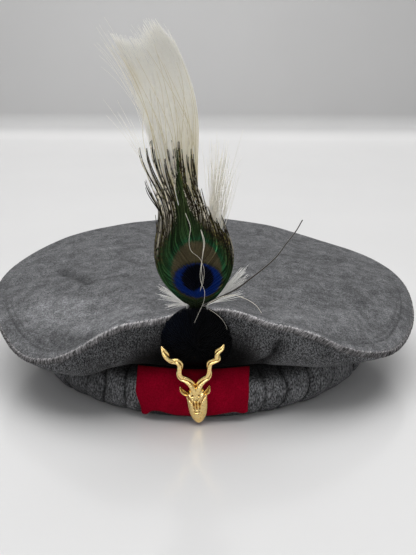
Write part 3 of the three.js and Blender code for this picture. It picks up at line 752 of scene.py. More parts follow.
def roll_felt():
    columns = 1200
    turn = full_turn(columns)[:, None]
    angle = np.radians(np.concatenate([np.linspace(-110, 110, 44), np.linspace(110, 250, 15)[1:-1]]))[None, :]
    sine = np.sin(angle)
    cosine = np.cos(angle)
    depth = 0
    valley = 0
    for crease_turn, deep, lean in roll_creases():
        wander = 0.4 * np.sin(2 * angle + crease_turn)
        bow = lean * (np.cos(1.3 * (angle - 0.35)) - 0.75)
        off = turn_between(turn, crease_turn + (bow + wander) * np.maximum(cosine, 0))
        depth += deep * (0.8 * bump(off, 0.45) + 0.4 * bump(off, 1.8))
        depth -= 0.25 * deep * (bump(off - 2.6, 1.8) + bump(off + 2.6, 1.8))
        valley = np.maximum(valley, deep * (0.45 * bump(off, 0.5) + 0.1 * bump(off, 1.6)))
    under_patch = smoothstep(PATCH_TURN + 1.4 - np.abs(turn_between(turn, PATCH_MIDDLE)), 0, 1.6)
    radius, height = roll_section(angle, 0, depth * (1 - under_patch))
    soft = 0.28 * lumps(polar(turn, radius, height), 16, 21) * (1 - under_patch)
    radius = radius + np.maximum(cosine, -0.2) * soft
    height = np.maximum(height + np.clip(sine, -1, 0.2) * soft, 0)
    points = polar(turn, radius, height).reshape(-1, 3)
    faces = grid_faces(columns, angle.size, loop_rows=True)

    ribs = 1 + 0.12 * np.sin(np.radians(turn) * ROLL_RIBS + 2 * np.sin(np.radians(turn) * 61))
    # Painted shade where the side hides the roll's top, on its underside and under the patch, and in its
    # creases
    hidden_shade = lerp(0.7, 0.06, at_turn(turn, 0, 52))
    lit_from = lerp(-0.42, -0.05, under_patch)
    under = lerp(lerp(0.8, 0.15, at_turn(turn, 0, 20)), 1, smoothstep(sine, lit_from - 0.48, lit_from))
    shade = ribs * (1 - np.clip(valley, 0, 0.75)) * lerp(hidden_shade, 1, smoothstep(sine, 0.86, 0.42)) * under
    # Painted shadow under the side's left lip, and painted shade over the roll's left part
    lip = at_turn(turn, -39, 11) * smoothstep(sine, -0.15, 0.4)
    shade = shade * (1 - 0.2 * at_turn(turn, -40, 18)) * (1 - 0.55 * lip)
    add_piece("roll_felt", points, faces, shade.ravel(), ROLL_WOOL, "grey_wool", "rolled_brim")


def front_patch():
    columns = 90
    rows = 48
    across = np.linspace(-1, 1, columns)[:, None]
    down = shares(rows)
    bottom = PATCH_BOTTOM + curve(PATCH_HEM, across)
    angle = np.radians(lerp(PATCH_TOP + 2.5 * across, bottom, down))
    straight = PATCH_TURN * ROLL_OUTER / roll_section(angle)[0]
    corners = 0.1 * smoothstep(-across, 0.4, 1) + 0.03 * smoothstep(across, 0.4, 1)
    drawn_in = 1 - smoothstep(down, 0.5, 1) * corners
    turn = PATCH_MIDDLE + straight * drawn_in * (across + 0.006 * np.sin(9 * down + across))
    curl = PATCH_CURL * smoothstep(np.abs(across), 0.45, 1) + 0.9 * bump(across + 0.62, 0.22)
    middle = GAP + smoothstep(down, 0.72, 1) ** 2 * curl + PATCH_CLOTH / 2
    from_side = np.minimum(1 + across, 1 - across) * PATCH_FLAT[0] / 2
    from_end = np.minimum(down, 1 - down) * PATCH_FLAT[1]
    thick = np.maximum(PATCH_CLOTH * rounded(np.minimum(from_side, from_end) / PATCH_EDGE_ROUND), 0.06)

    def face(side):
        radius, height = roll_section(angle, middle + side * thick / 2)
        return polar(turn, radius, np.maximum(height, 0.25 + 0.2 * side))

    points, faces = closed_plate(face(1), face(-1))
    piece = add_piece("patch_felt", points, faces, None, RED_FELT, "red_felt", "front_patch")


# Gilt badge, in its own frame: back at y = 0, chin at z = 0, relief towards -Y

BADGE_TURN = math.radians(4.5)  # it is pinned a little askew
BADGE_PLACE = np.array([1.5, -(ROLL_OUTER + GAP + PATCH_CLOTH + GAP), 1.6])
BADGE_VOXEL = 0.19
HOLLOW_ROUNDS = 32  # of smoothing, which finds the hollows
HOLLOW_FROM = 0.015
HOLLOW_FULL = 0.1
# The face from chin to brow: rise, half width and depth of relief
FACE = np.array([
    (0.5, 1.3, 1.4), (1.2, 2.3, 1.9), (3.3, 3.8, 2.4), (6, 4.9, 2.8), (8.6, 5.4, 3), (11.5, 5.8, 3.3),
    (14.5, 5.95, 3.5), (18.4, 6, 3.6), (20.8, 5, 3.4), (23.5, 3.4, 3.1), (25, 2.8, 2.6),
])
# Each horn's zigzag from root to tip: sideways, rise and half width
LEFT_HORN = [
    (-1.2, 21, 2.1), (-1.7, 24.4, 2.3), (-2.7, 26.7, 2.1), (-5, 29.1, 1.85), (-7.9, 30.9, 1.85),
    (-8.8, 33.2, 1.9), (-8.2, 36.3, 1.85), (-7.8, 39.2, 1.85), (-9.1, 41.1, 1.8), (-12, 41.6, 1.6),
    (-14.4, 43, 1.85), (-15.3, 45.7, 2), (-16.4, 48.6, 1.5), (-17.6, 51.4, 0.25),
]
RIGHT_HORN = [
    (1.2, 21, 2.1), (1.7, 24.1, 2.3), (2.8, 26.3, 2.05), (5, 28.6, 1.85), (7.6, 30.3, 1.8),
    (8.6, 33, 1.75), (8.9, 36.1, 1.7), (9.6, 39.1, 1.7), (11.9, 40.2, 1.6), (14.1, 41.5, 1.8),
    (13.8, 43.9, 1.75), (14.7, 45.9, 1.6), (16.8, 47.6, 1.35), (18.5, 50.2, 0.25),
]
HORN_DEEP = 0.95  # its depth as a share of its width
HORN_DEPTH = 2.2
HORN_LEAST = 0.15  # half width at its tip
# Half turns of its two grooves: share of the way to the tip, and turns
HORN_TWISTS = np.array([(0, 0.35), (0.26, 1), (0.45, 1.5), (0.66, 2), (0.78, 2.5), (0.87, 2.9), (1, 3.1)])
EAR_DEPTH = 1.2
EAR_HALF = 1.4
EAR_DEEP = 1.5
EAR_BOW = 0.8
EAR_BACK = 0.3
# Each ear's root and tip
LEFT_EAR = ((-4.8, 19.3), (-9.4, 25))
RIGHT_EAR = ((4.6, 19.1), (8.1, 24.7))
# Forms of the face, sideways from its own middle and in rise
FACE_MIDDLE = -0.4
BROW = ((0.8, 14.6), (5.6, 21))
CHEEK_GROOVE = ((1.6, 12.4), (5.1, 17.2))
EYE_PIT = (1.9, 18.9)
HEAD_SLOT = ((-0.2, 21.8), (-0.1, 24.6))
NOSE_HALF = 0.75
NOSE_TOP = 15
NOSE_TIP = 9.2


def face_relief():
    rows = 150
    columns = 101
    rise = np.linspace(FACE[0, 0], FACE[-1, 0], rows)[:, None]
    across = np.sin(np.linspace(-np.pi / 2, np.pi / 2, columns))[None, :]
    x = across * curve(FACE, rise, 1)
    out = 0.7 * curve(FACE, rise, 2) * (1 - np.abs(across) ** 3) + 0.3
    off = x - FACE_MIDDLE
    bridge = smoothstep(rise, NOSE_TIP, NOSE_TIP + 1) * smoothstep(NOSE_TOP + 1 - rise, 0, 1.5)
    tip = np.hypot(off, rise - NOSE_TIP)
    rim = smoothstep(rise, NOSE_TIP - 1, NOSE_TIP)
    out += 0.5 * bridge * bump(np.abs(off) - NOSE_HALF, 0.45) + 0.75 * bump(tip, 1)
    out -= 0.4 * bridge * bump(off, 0.35)
    out -= 0.55 * (rim * bridge * bump(np.abs(off) - 1.75, 0.45) + (1 - rim) * 0.7 * bump(tip - 1.7, 0.42))
    out -= 0.9 * bump(segment_distance(off, rise, *HEAD_SLOT), 0.5)
    for side in (-1, 1):
        out += 0.6 * bump(segment_distance(side * off, rise, *BROW), 0.75)
        out -= 0.55 * bump(segment_distance(side * off, rise, *CHEEK_GROOVE), 0.5)
        out -= 0.7 * bump(np.hypot(side * off - EYE_PIT[0], rise - EYE_PIT[1]), 0.6)
    rise = np.broadcast_to(rise, x.shape)
    front = np.stack([x, -np.maximum(out, 0.2), rise], -1)
    grained = 0.04 * lumps(front, 1.7, 71) + 0.045 * lumps(front, 0.8, 72)
    front[..., 1] += grained * smoothstep(1 - np.abs(across), 0, 0.2)
    return closed_plate(front, np.stack([x, np.zeros_like(x), rise], -1))


def horn_relief(line):
    """A zigzag horn with two grooves that wind round it."""
    steps = 150
    sides = 28
    path = smooth_path(line, steps)
    centre = np.stack([path[:, 0], np.full(steps, -HORN_DEPTH), path[:, 1]], -1)
    flank = np.cross((0, 1, 0), unit(np.gradient(centre, axis=0)))
    half = np.maximum(path[:, 2:], HORN_LEAST)
    around = full_turn(sides, 2 * np.pi)[None, :]
    twist = np.sign(line[-1][0]) * np.pi * curve(HORN_TWISTS, shares(steps).T)
    groove = np.cos(2 * (around - twist))
    reach = half * (1 + 0.14 * groove - 0.4 * np.maximum(-groove, 0) ** 3)
    points = centre[:, None] + (reach * np.cos(around))[..., None] * flank[:, None]
    points[..., 1] = np.minimum(points[..., 1] + HORN_DEEP * reach * np.sin(around), -0.05)
    return points.reshape(-1, 3), tube_faces(steps, sides)


def ear_relief(root, tip):
    """A leaf-shaped ear with a hollow along it."""
    share = shares(30).T
    across = np.linspace(-1, 1, 15)[None, :]
    middle = lerp(np.array(root), np.array(tip), share)
    way_x, way_rise = unit(np.subtract(tip, root))
    half = EAR_HALF * np.sin(np.pi * lerp(0.22, 0.985, share)) ** 0.9
    bow = np.sign(tip[0]) * EAR_BOW * np.sin(np.pi * share)
    x = middle[:, :1] + way_rise * (bow - across * half)
    rise = middle[:, 1:] - way_x * (bow - across * half)
    out = EAR_DEPTH + EAR_DEEP * (0.2 + 0.8 * np.abs(across) ** 1.6) * (1 - 0.3 * share)
    return closed_plate(np.stack([x, -out, rise], -1), np.stack([x, np.full_like(x, -EAR_BACK), rise], -1))


def cast_mesh(name, points, faces):
    """The shells as one cast surface."""
    shells = solid_mesh("shells", np.asarray(points) * MM, faces)
    cast = add_object("shells", shells)
    remesh = cast.modifiers.new("remesh", "REMESH")
    remesh.mode = "VOXEL"
    remesh.voxel_size = BADGE_VOXEL * MM
    smooth = cast.modifiers.new("smooth", "SMOOTH")
    smooth.factor = 0.5
    smooth.iterations = 1
    mesh = bpy.data.meshes.new_from_object(cast.evaluated_get(bpy.context.evaluated_depsgraph_get()))
    mesh.name = name
    bpy.data.objects.remove(cast)
    bpy.data.meshes.remove(shells)
    return mesh


def hollow_depth(mesh, points, rounds):
    """How far each point of a mesh lies under the surface smoothed around it."""
    count = len(points)
    normals = np.empty(count * 3, np.float32)
    mesh.vertices.foreach_get("normal", normals)
    edges = np.empty(len(mesh.edges) * 2, np.int32)
    mesh.edges.foreach_get("vertices", edges)
    start, end = edges.reshape(-1, 2).T
    near = np.bincount(edges, minlength=count)
    smooth = points.copy()
    for _ in range(rounds):
        for axis in range(3):
            level = smooth[:, axis]
            total = np.bincount(start, level[end], count) + np.bincount(end, level[start], count)
            smooth[:, axis] = lerp(level, total / near, 0.6)
    return ((smooth - points) * normals.reshape(-1, 3)).sum(1)


def badge_gilt():
    horns = joined(horn_relief(LEFT_HORN), horn_relief(RIGHT_HORN))
    ears = joined(ear_relief(*LEFT_EAR), ear_relief(*RIGHT_EAR))
    mesh = cast_mesh("badge_gilt", *joined(face_relief(), horns, ears))
    points = np.empty(len(mesh.vertices) * 3, np.float32)
    mesh.vertices.foreach_get("co", points)
    points = points.reshape(-1, 3).astype(float) / MM
    hollow = smoothstep(hollow_depth(mesh, points, HOLLOW_ROUNDS), HOLLOW_FROM, HOLLOW_FULL)[:, None]
    points = to_frame(rotated(points, BADGE_TURN, 0, 2) + BADGE_PLACE)
    mesh.vertices.foreach_set("co", points.astype(np.float32).ravel())
    mesh.update()
    shadow = np.array([0.3, 0.19, 0.08])
    add_mesh(mesh, lerp(1, shadow, hollow), GILT, "gilt", "markhor_badge")


# Spray, in a frame that leans on the crown: back at y = 0, foot at z = 0

SPRAY_LEAN = math.radians(13.5)
SPRAY_PLACE = np.array([0, -104.1, ROLL_HEIGHT + GAP + PATCH_CLOTH + GAP])
ROSETTE_HALF_WIDTH = 20.2
ROSETTE_HALF_HEIGHT = 23
ROSETTE_RISE = 22.6
ROSETTE_RIM = 6
ROSETTE_CENTRE = 12
ROSETTE_BARBS = 2600
SPRAY_TOP = ROSETTE_RISE + ROSETTE_HALF_HEIGHT
LIFT = np.array([0, 0, SPRAY_TOP])
FEATHER_BEND = 0.0018  # back, for each square millimetre of rise
LEFT, RIGHT = 1, 2  # columns of a feather's outline


def add_barbs(name, points, faces, colours, material, slot, *nodes):
    """A piece of the spray, with a map of it laid flat."""
    place = rotated(points, SPRAY_LEAN, 1, 2) + SPRAY_PLACE
    mesh = add_piece(name, place, faces, colours, material, slot, *nodes).data
    flat = points[:, [0, 2]]
    flat = (flat - flat.min(0)) / np.ptp(flat, axis=0)
    corner = np.empty(len(mesh.loops), np.int32)
    mesh.loops.foreach_get("vertex_index", corner)
    layer = mesh.uv_layers.new(name="OFBake")
    layer.data.foreach_set("uv", flat[corner].astype(np.float32).ravel())


def bend_back(rise):
    return FEATHER_BEND * np.maximum(rise, 0) ** 2


def rosette_points(reach, angle, least, raised):
    """Places on the rosette, which draws back at its foot, raised from its face."""
    rise = np.maximum(ROSETTE_RISE + reach * ROSETTE_HALF_HEIGHT * np.cos(angle), least)
    depth = lerp(ROSETTE_RIM, ROSETTE_CENTRE, np.sqrt(np.maximum(1 - reach**2, 0)))
    depth = depth * lerp(0.2, 1, smoothstep(rise, -1, 13)) + raised
    return np.stack([reach * ROSETTE_HALF_WIDTH * np.sin(angle), -depth, rise], -1)


def rosette_barbs():
    """A dark pad under short barbs that lie outwards from its middle."""
    columns = 96
    reach = np.array([0.93, 0.92, 0.85, 0.7, 0.5, 0.3, 0.12])[:, None]
    pad = rosette_points(reach, full_turn(columns, 2 * np.pi)[None, :], 0.6, -0.8)
    pad[..., 1] = np.minimum(pad[..., 1], -0.4)
    pad[0, :, 1] = -0.2

    rng = np.random.default_rng(31)
    count = (ROSETTE_BARBS, 1)
    steps = 6
    share = shares(steps)
    way = rng.uniform(0, 2 * np.pi, count)
    root = np.sqrt(rng.uniform(0, 0.86, count))
    swirl = rng.normal(0.12, 0.25, count)
    length = rng.uniform(0.2, 0.36, count)
    reach = np.minimum(root + length * share, rng.uniform(0.985, 1.03, count))
    turn = way + swirl * share * (1.15 - reach)
    raised = rng.uniform(0.1, 0.9, count) * np.sin(np.pi * lerp(0.05, 0.8, share)) - 0.6
    half = 0.36 * np.sin(np.pi * lerp(0.2, 0.96, share))
    barbs = strands(rosette_points(reach, turn, 0.7, raised), half, 0.5 * half)
    points, faces = joined((pad.reshape(-1, 3), tube_faces(len(pad), columns)), barbs)

    # A painted navy sheen over the upper left of the black barbs
    blue = smoothstep(-points[:, 0], -6, 20) * smoothstep(points[:, 2], 14, 40)
    shade = rng.uniform(0.5, 1.4, ROSETTE_BARBS).repeat(steps * 3)
    shade = np.concatenate([np.full(pad[..., 0].size, 0.6), shade])[:, None]
    black = np.array([0.0008, 0.001, 0.0018])
    navy_sheen = np.array([0.001, 0.003, 0.009])
    colours = shade * lerp(black, navy_sheen, blue[:, None])
    add_barbs("rosette_barbs", points, faces, colours, BLACK_HACKLE, "black_hackle", "rosette")


# Peacock eye

VANE_DEPTH = -3.5
VANE_CUP = 2.2
VANE_HALF_WIDTH = 22
VANE_FOOT = SPRAY_TOP + GAP
# The outline of the eye feather: rise above its foot, and left and right edge
VANE = np.array([
    (0, -4.2, 5.6), (4, -9.2, 9.9), (8, -13.2, 13.2), (17.5, -19.8, 18.8), (28.5, -22.8, 21.2),
    (38.5, -22.6, 20.4), (47, -21, 18), (58, -20, 14), (66, -20.8, 10), (78, -23.6, 6), (96, -26, 2),
])
# Locks that the long barbs of each side gather into, from the outermost to the shaft: tip sideways and rise
LEFT_LOCKS = np.array([
    (-21.3, 71), (-24.9, 79), (-27.3, 94), (-23.4, 95), (-17.5, 89), (-12.3, 94), (-8.4, 94.5), (-8.2, 82),
])
RIGHT_LOCKS = np.array([(13.8, 55), (9.8, 57.5), (6.6, 62), (2.6, 70), (-0.6, 80), (-2.4, 91), (-7, 85)])
BARBS = 200  # on each side
TOP_ROOT = 46  # rise of the highest barb's root
SHAFT_FOOT = 9  # above the rosette's foot
SHAFT_TOP = 58
WEB_FOOT = -1.6
WEB_TOP = 62
GOLDEN_SHARE = 0.618  # spaces the pale barbs evenly
# The eye's rings, from the heart out: middle sideways and in rise, half width and half height
EYE_HEART = (1, 18.6, 9, 8.6)
EYE_BLUE = (1.1, 16.9, 13.3, 10.9)
EYE_RIM = (1.1, 16.9, 14.6, 12.2)
EYE_BRONZE = (0.4, 21.5, 14, 19.5)
EYE_GREEN = (-0.6, 22, 20.6, 27)
# The green flame over the eye: rise, middle and half width
EYE_FLAME = np.array([
    (24, -0.6, 20.4), (36, -1, 17.4), (46, -3.2, 9.6), (56, -5.8, 4.8),
    (66, -7.6, 2.5), (76, -8.8, 1.4), (86, -9.2, 0.4),
])


def on_vane(x, rise, behind):
    """Points of the cupped vane, or behind it."""
    left = curve(VANE, rise, LEFT)
    right = curve(VANE, rise, RIGHT)
    across = np.clip((2 * x - left - right) / (right - left), -1.1, 1.1)
    cup = VANE_CUP * across**2 * (right - left) / (2 * VANE_HALF_WIDTH)
    return np.stack([x, VANE_DEPTH + bend_back(rise) + cup + behind, VANE_FOOT + rise], -1)


def ring_reach(x, rise, ring):
    middle, ring_rise, half_width, half_height = ring
    return np.hypot((x - middle) / half_width, (rise - ring_rise) / half_height)


def eye_colour(x, rise, pale, rng):
    """Colours of the peacock's eye, by place on the vane. Pale barbs, painted glints, show only in its outer
    fringe.
    """
    heart, blue = np.array([(0.0006, 0.001, 0.004), (0.0015, 0.016, 0.12)])
    bronze, teal, green = np.array([(0.08, 0.066, 0.036), (0.01, 0.1, 0.045), (0.02, 0.055, 0.018)])
    olive, dark, cream = np.array([(0.07, 0.062, 0.02), (0.016, 0.012, 0.008), (0.74, 0.68, 0.55)])
    stray = rng.normal(0, 0.02, x.shape)
    darker = smoothstep(rng.random(x.shape), 0.15, 0.5)
    unbroken = rng.random(x.shape) < 0.8

    def within(ring, soft=0.04):
        return 1 - smoothstep(ring_reach(x, rise, ring) + stray, 1 - soft, 1 + soft)

    def blend(first, second, share):
        return lerp(first, second, share[..., None])

    fringe = 0.4 * smoothstep(ring_reach(x, rise, EYE_GREEN), 1, 1.15)
    loose = np.maximum(smoothstep(rise, 46, 60), fringe)
    # The pale barbs of the loose fringe, broken into beads, are painted glints
    colour = blend(blend(olive, dark, darker), cream, loose * pale * unbroken)
    flame_rise, flame_middle, flame_half = EYE_FLAME.T
    middle = np.interp(rise, flame_rise, flame_middle)
    off_flame = np.abs(x - middle) / np.interp(rise, flame_rise, flame_half)
    flame = (1 - smoothstep(off_flame + 5 * stray, 0.85, 1.1)) * smoothstep(rise, 22, 26)
    flame_green = blend(green, 0.2 * olive + 0.4 * green, smoothstep(rise, 36, 60))
    colour = blend(colour, flame_green, np.maximum(flame, within(EYE_GREEN, 0.1) * (rise < 26)))
    colour = blend(colour, teal, 0.5 * bump(ring_reach(x, rise, EYE_BRONZE) - 1.07 + stray, 0.07))
    colour = blend(0.5 * dark + 0.2 * green, colour, smoothstep(rise, 1, 10))
    colour = blend(colour, bronze, within(EYE_BRONZE) * smoothstep(rise, 7, 17))
    colour = blend(colour, 0.6 * olive, within(EYE_RIM))
    colour = blend(colour, blue, within(EYE_BLUE))
    notch = smoothstep(13.2 - 0.8 * np.abs(x - 3) - rise, -0.8, 0.8)
    return blend(colour, heart, within(EYE_HEART) * (1 - notch))


def barb_side(side, locks, rng, steps):
    """Places sideways and in rise of the barbs of one side of the vane.

    They leave the shaft and run up along the outline, and the long ones join in locks.
    """

    def spread(low, high):
        return rng.uniform(low, high, (BARBS, 1))

    spot = np.sort(spread(0, 1), 0)
    is_long = spread(0, 1) < 0.3
    lock = locks[np.minimum((spot[:, 0] * len(locks)).astype(int), len(locks) - 1)]
    apart = rng.integers(-1, 2, (BARBS, 1))
    lock_x = lock[:, :1] + 1.5 * apart + rng.normal(0, 0.25, (BARBS, 1))
    lock_tip = lock[:, 1:] - 4 * np.abs(apart) - 6 * rng.beta(0.8, 2, (BARBS, 1))
    root = TOP_ROOT * spot**1.15
    tip = np.where(is_long, lock_tip, lerp(root + 14, lock[:, 1:], spread(0.3, 0.72)))
    rise = lerp(root, tip, shares(steps))
    run = lerp(0.6, 21, smoothstep(spot, 0, 0.22))

    def stream(at):
        return curve(VANE, at, side) * (1 - 0.97 * spot) * smoothstep((at - root) / run, -0.15, 1)

    gather = smoothstep(rise, np.minimum(46, lock_tip - 22), lock_tip) ** 1.2
    sway = spread(-0.7, 0.7) * np.sin(rise / 7 + spread(0, 6)) * smoothstep(rise, 40, 70)
    return stream(rise) + (lock_x - stream(lock_tip)) * gather + sway, rise


def uneven_colours(x, rise, uneven, calm, rng, pale=0):
    """Colours of the eye, made uneven outside its bronze ring and nearly calm within it."""
    inside = 1 - smoothstep(ring_reach(x, rise, EYE_BRONZE), 0.9, 1.1)
    return (eye_colour(x, rise, pale, rng) * lerp(uneven, calm, inside)[..., None]).reshape(-1, 3)


def eye_web(rng):
    """The close web of barbules behind the barbs, as a thin closed sheet, with its colours."""
    rows = 110
    columns = 81
    rise = np.linspace(WEB_FOOT, WEB_TOP, rows)[:, None]
    left = curve(VANE, rise, LEFT)
    right = curve(VANE, rise, RIGHT)
    narrow = np.sqrt(np.clip((WEB_TOP + 1 - rise) / 22, 0, 1))
    x = lerp((left + right) / 2, lerp(left, right, np.linspace(0.03, 0.97, columns)[None, :]), narrow)
    rise = np.broadcast_to(rise, x.shape)
    colours = uneven_colours(x, rise, rng.gamma(3, 0.33, (1, columns)), 1, rng)
    return closed_plate(on_vane(x, rise, 0.25), on_vane(x, rise, 0.5)), np.tile(colours, (2, 1))


def peacock_eye():
    rng = np.random.default_rng(41)
    steps = 56
    sides = [barb_side(side, locks, rng, steps) for side, locks in ((LEFT, LEFT_LOCKS), (RIGHT, RIGHT_LOCKS))]
    x, rise = (np.concatenate(values) for values in zip(*sides))
    paths = on_vane(x, rise, rng.uniform(-0.3, 0.2, (len(x), 1)))
    share = shares(steps)
    half = lerp(0.22, 0.36, smoothstep(share, 0, 0.2)) * lerp(1, 0.45, smoothstep(share, 0.8, 1))
    shaft_rise = np.linspace(SHAFT_FOOT - SPRAY_TOP, SHAFT_TOP, 40)
    shaft_depth = VANE_DEPTH + bend_back(shaft_rise) + 0.2
    shaft = np.stack([np.zeros_like(shaft_rise), shaft_depth, VANE_FOOT + shaft_rise], -1)[None]
    shaft_half = np.interp(shaft_rise, [-SPRAY_TOP, 0, 20, SHAFT_TOP], [1, 0.9, 0.4, 0.2])[None]

    # Pale barbs, spaced evenly, for the painted glints of the fringe
    pale_share = np.repeat([0.44, 0.26], BARBS)
    pale = (GOLDEN_SHARE * np.arange(len(x)) % 1 < pale_share)[:, None]
    uneven = rng.gamma(3, 0.33, (len(x), 1))
    # Random tone along the barbs, with a few barbs much brighter: painted glints
    uneven *= np.where(rng.random((len(x), 1)) < 0.12, 2.2, 0.9)
    colours = uneven_colours(x, rise, uneven, 0.9 + 0.12 * uneven, rng, pale)
    shaft_colours = eye_colour(shaft[0, :, 0], shaft_rise, 0, rng)
    web, web_colours = eye_web(rng)
    barbs = strands(paths, half, 0.5 * half)
    points, faces = joined(barbs, strands(shaft, shaft_half, 0.8 * shaft_half), web)
    colours = np.concatenate([colours.repeat(3, 0), shaft_colours.repeat(3, 0), web_colours])
    add_barbs("peacock_eye", points, faces, colours, PEACOCK, "peacock", "peacock_feather")


# White plume

PLUME_DEPTH = -1.25
PLUME_LEAN = 0.05  # back, for each millimetre of rise
# The plume's outline: rise above its foot, and left and right edge
PLUME = np.array([
    (-10, -2, 2), (15, -5, 3), (40, -11, 3.2), (62, -17, 1.6), (83, -23.2, 1.4), (103, -28.4, 1.4),
    (119, -33.4, -2), (130, -38.4, -6.8), (142, -46.5, -13.4), (150, -52, -19.4),
])
# Its tips: share of the way from its left edge to its right edge, and rise
PLUME_TIPS = np.array([
    (0, 142), (0.125, 142), (0.25, 140), (0.375, 140), (0.5, 141),
    (0.625, 144), (0.75, 147), (0.875, 148), (1, 138),
])
PLUME_BARBS = 1500
PLUME_SHAFTS = 26  # golden shafts among the barbs
PLUME_SHAFT_FOOT = 5
PLUME_SHAFT_FORWARD = 2.6  # how far their tips stand out of the plume
PLUME_LOCKS = 16  # that the barbs are drawn to low down
LOCK_PULL = 0.78
PLUME_STREAK = ((-45.5, 134), (-31, 121))  # straw-coloured, at the left edge
# Wisps that stand free of the plume: bend and tip, each sideways, in depth and in rise, and number of barbs
PLUME_WISPS = [
    ((-17, 9, 72), (-40, 20, 103), 9),
    ((-19, 22, 108), (-47, 42, 138), 18),
    ((10, 14, 42), (12, 28, 82), 76),
    ((13, 12, 38), (16, 26, 68), 50),
]


def on_plume(place, rise, depth):
    """Points by their place between the plume's edges, their rise and their depth from its middle."""
    x = lerp(curve(PLUME, rise, LEFT), curve(PLUME, rise, RIGHT), place)
    y = PLUME_DEPTH + bend_back(rise) + PLUME_LEAN * np.maximum(rise, 0) + depth
    return np.stack([x, y, SPRAY_TOP + rise], -1)


def plume_paths(place, lock, start, tip, forward, wander, phase, steps):
    """Paths that keep near their lock low down, and to their own place in the plume higher up."""
    share = shares(steps)
    rise = lerp(start, tip, share)
    drawn = lerp(place, lock, LOCK_PULL * (1 - smoothstep(rise, 84, 126)))
    sway = wander * share**2 * np.sin(3 * share + phase)
    return on_plume(np.clip(drawn + sway, -0.08, 1), rise, -forward * share)


def plume_web():
    """The soft sheet of down among the barbs, thin and closed."""
    place = np.linspace(0.08, 0.97, 60)[None, :]
    top = curve(PLUME_TIPS, place) - 12 - 6 * np.sin(31 * place) ** 2
    foot = 92 + 10 * np.sin(23 * place) + 6 * np.sin(57 * place + 2)
    rise = lerp(foot, top, shares(30).T)
    wave = (1 + 0.16 * np.sin(41 * place) + 0.1 * np.sin(67 * place + 1)) * smoothstep(rise, 10, 60)
    return closed_plate(on_plume(place, rise, wave - 0.1), on_plume(place, rise, wave + 0.1))


def plume_barbs():
    rng = np.random.default_rng(51)
    steps = 18
    share = shares(steps)
    count = (PLUME_BARBS, 1)
    place = np.clip(rng.beta(1.25, 0.9, count) + rng.normal(0, 0.015, count), -0.05, 1.03)
    tip = curve(PLUME_TIPS, place) * (1 - 0.42 * rng.beta(0.8, 2.6, count))
    wander = rng.normal(0, 0.1, count) * np.sqrt(np.clip(4 * place * (1 - place), 0.02, 1))
    phase = rng.uniform(0, 6, count)
    locks = np.sort(rng.uniform(0, 1, PLUME_LOCKS))
    lock = locks[np.abs(place - locks).argmin(1)][:, None]
    forward = rng.normal(0.2, 0.4, count)
    start = rng.uniform(-8, 30, count)
    barbs = plume_paths(place, lock, start, tip, forward, wander, phase, steps)

    count = (PLUME_SHAFTS, 1)
    place = rng.permutation(np.linspace(0.04, 0.97, PLUME_SHAFTS))[:, None]
    tip = rng.uniform(100, 138, count)
    wander = rng.normal(0, 0.24, count)
    phase = rng.uniform(0, 6, count)
    lock = np.clip(place + rng.normal(0, 0.2, count), 0.04, 0.97)
    shafts = plume_paths(place, lock, PLUME_SHAFT_FOOT, tip, PLUME_SHAFT_FORWARD, wander, phase, steps)

    wisps = []
    for bend, end, number in PLUME_WISPS:
        feet = LIFT + (0, PLUME_DEPTH, 0) + rng.normal(0, 1, (number, 3)) * (1, 0.3, 5)
        bends = bend + LIFT + rng.normal(0, 1.6, (number, 3))
        ends = end + LIFT + rng.normal(0, 1, (number, 3)) * (4, 3, 6)
        wisps.append(bezier(feet, bends, ends, steps))
    parts = [
        strands(barbs, lerp(0.2, 0.06, share), lerp(0.12, 0.04, share)),
        strands(shafts, lerp(0.26, 0.12, share), lerp(0.16, 0.07, share)),
        strands(np.concatenate(wisps), lerp(0.14, 0.05, share), 0.07),
        plume_web(),
    ]
    points, faces = joined(*parts)

    cream, straw, golden = np.array([(0.99, 0.975, 0.91), (0.84, 0.71, 0.38), (0.57, 0.47, 0.2)])
    first_shaft, first_wisp, first_web = np.cumsum([len(part[0]) for part in parts[:3]])
    x = points[:, 0]
    rise = points[:, 2] - SPRAY_TOP
    middle = lerp(curve(PLUME, rise, LEFT), curve(PLUME, rise, RIGHT), 0.35)
    tone = 0.05 + 0.6 * smoothstep(x - middle, 0, 12) * (1 - smoothstep(rise, 50, 118))
    tone += 0.3 * bump(segment_distance(x, rise, *PLUME_STREAK), 2.5)
    barb_tone = 0.8 * rng.beta(0.6, 5, (PLUME_BARBS, 1)) * lerp(1, 0.3, share)
    tone[:first_shaft] += barb_tone.ravel().repeat(3)
    tone[first_wisp:first_web] = 0.2
    colours = lerp(cream, straw, np.clip(tone, 0, 1)[:, None])
    shaft_tone = np.tile(lerp(1.25, 0.5, share[0]).repeat(3), PLUME_SHAFTS)
    colours[first_shaft:first_wisp] = lerp(cream, golden, shaft_tone[:, None])
    colours = colours * lerp(1, 0.86, smoothstep(rise, 112, 140))[:, None]
    add_barbs("plume_barbs", points, faces, colours, WHITE_FEATHER, "white_feather", "white_plume")


# Down tufts and loose strands, by places sideways, in depth and in rise

# Blades of the tufts: bend and tip, how far the strands spread at the tip, and their number
LEFT_TUFT = [
    ((-11.5, -1, 5), (-20.5, 0, 11), 1.2, 34),
    ((-11, -1.2, 3), (-20, -1, 6), 1.4, 34),
    ((-10, -1.5, 0.5), (-17, -2, -0.6), 1.3, 26),
]
RIGHT_TUFT = [
    ((15, -1, 8.5), (27.5, 0, 23.5), 1.3, 42),
    ((15.5, -1, 7), (29, 0, 19), 1.6, 34),
    ((15, -1.2, 4.5), (26, -1, 9), 1.4, 22),
]
LEFT_TUFT_FOOT = (-5.2, -1.6, 0.3)
RIGHT_TUFT_FOOT = (6.2, -1.6, 0.3)
TUFT_HOLD = 14  # how far it reaches down into the rosette


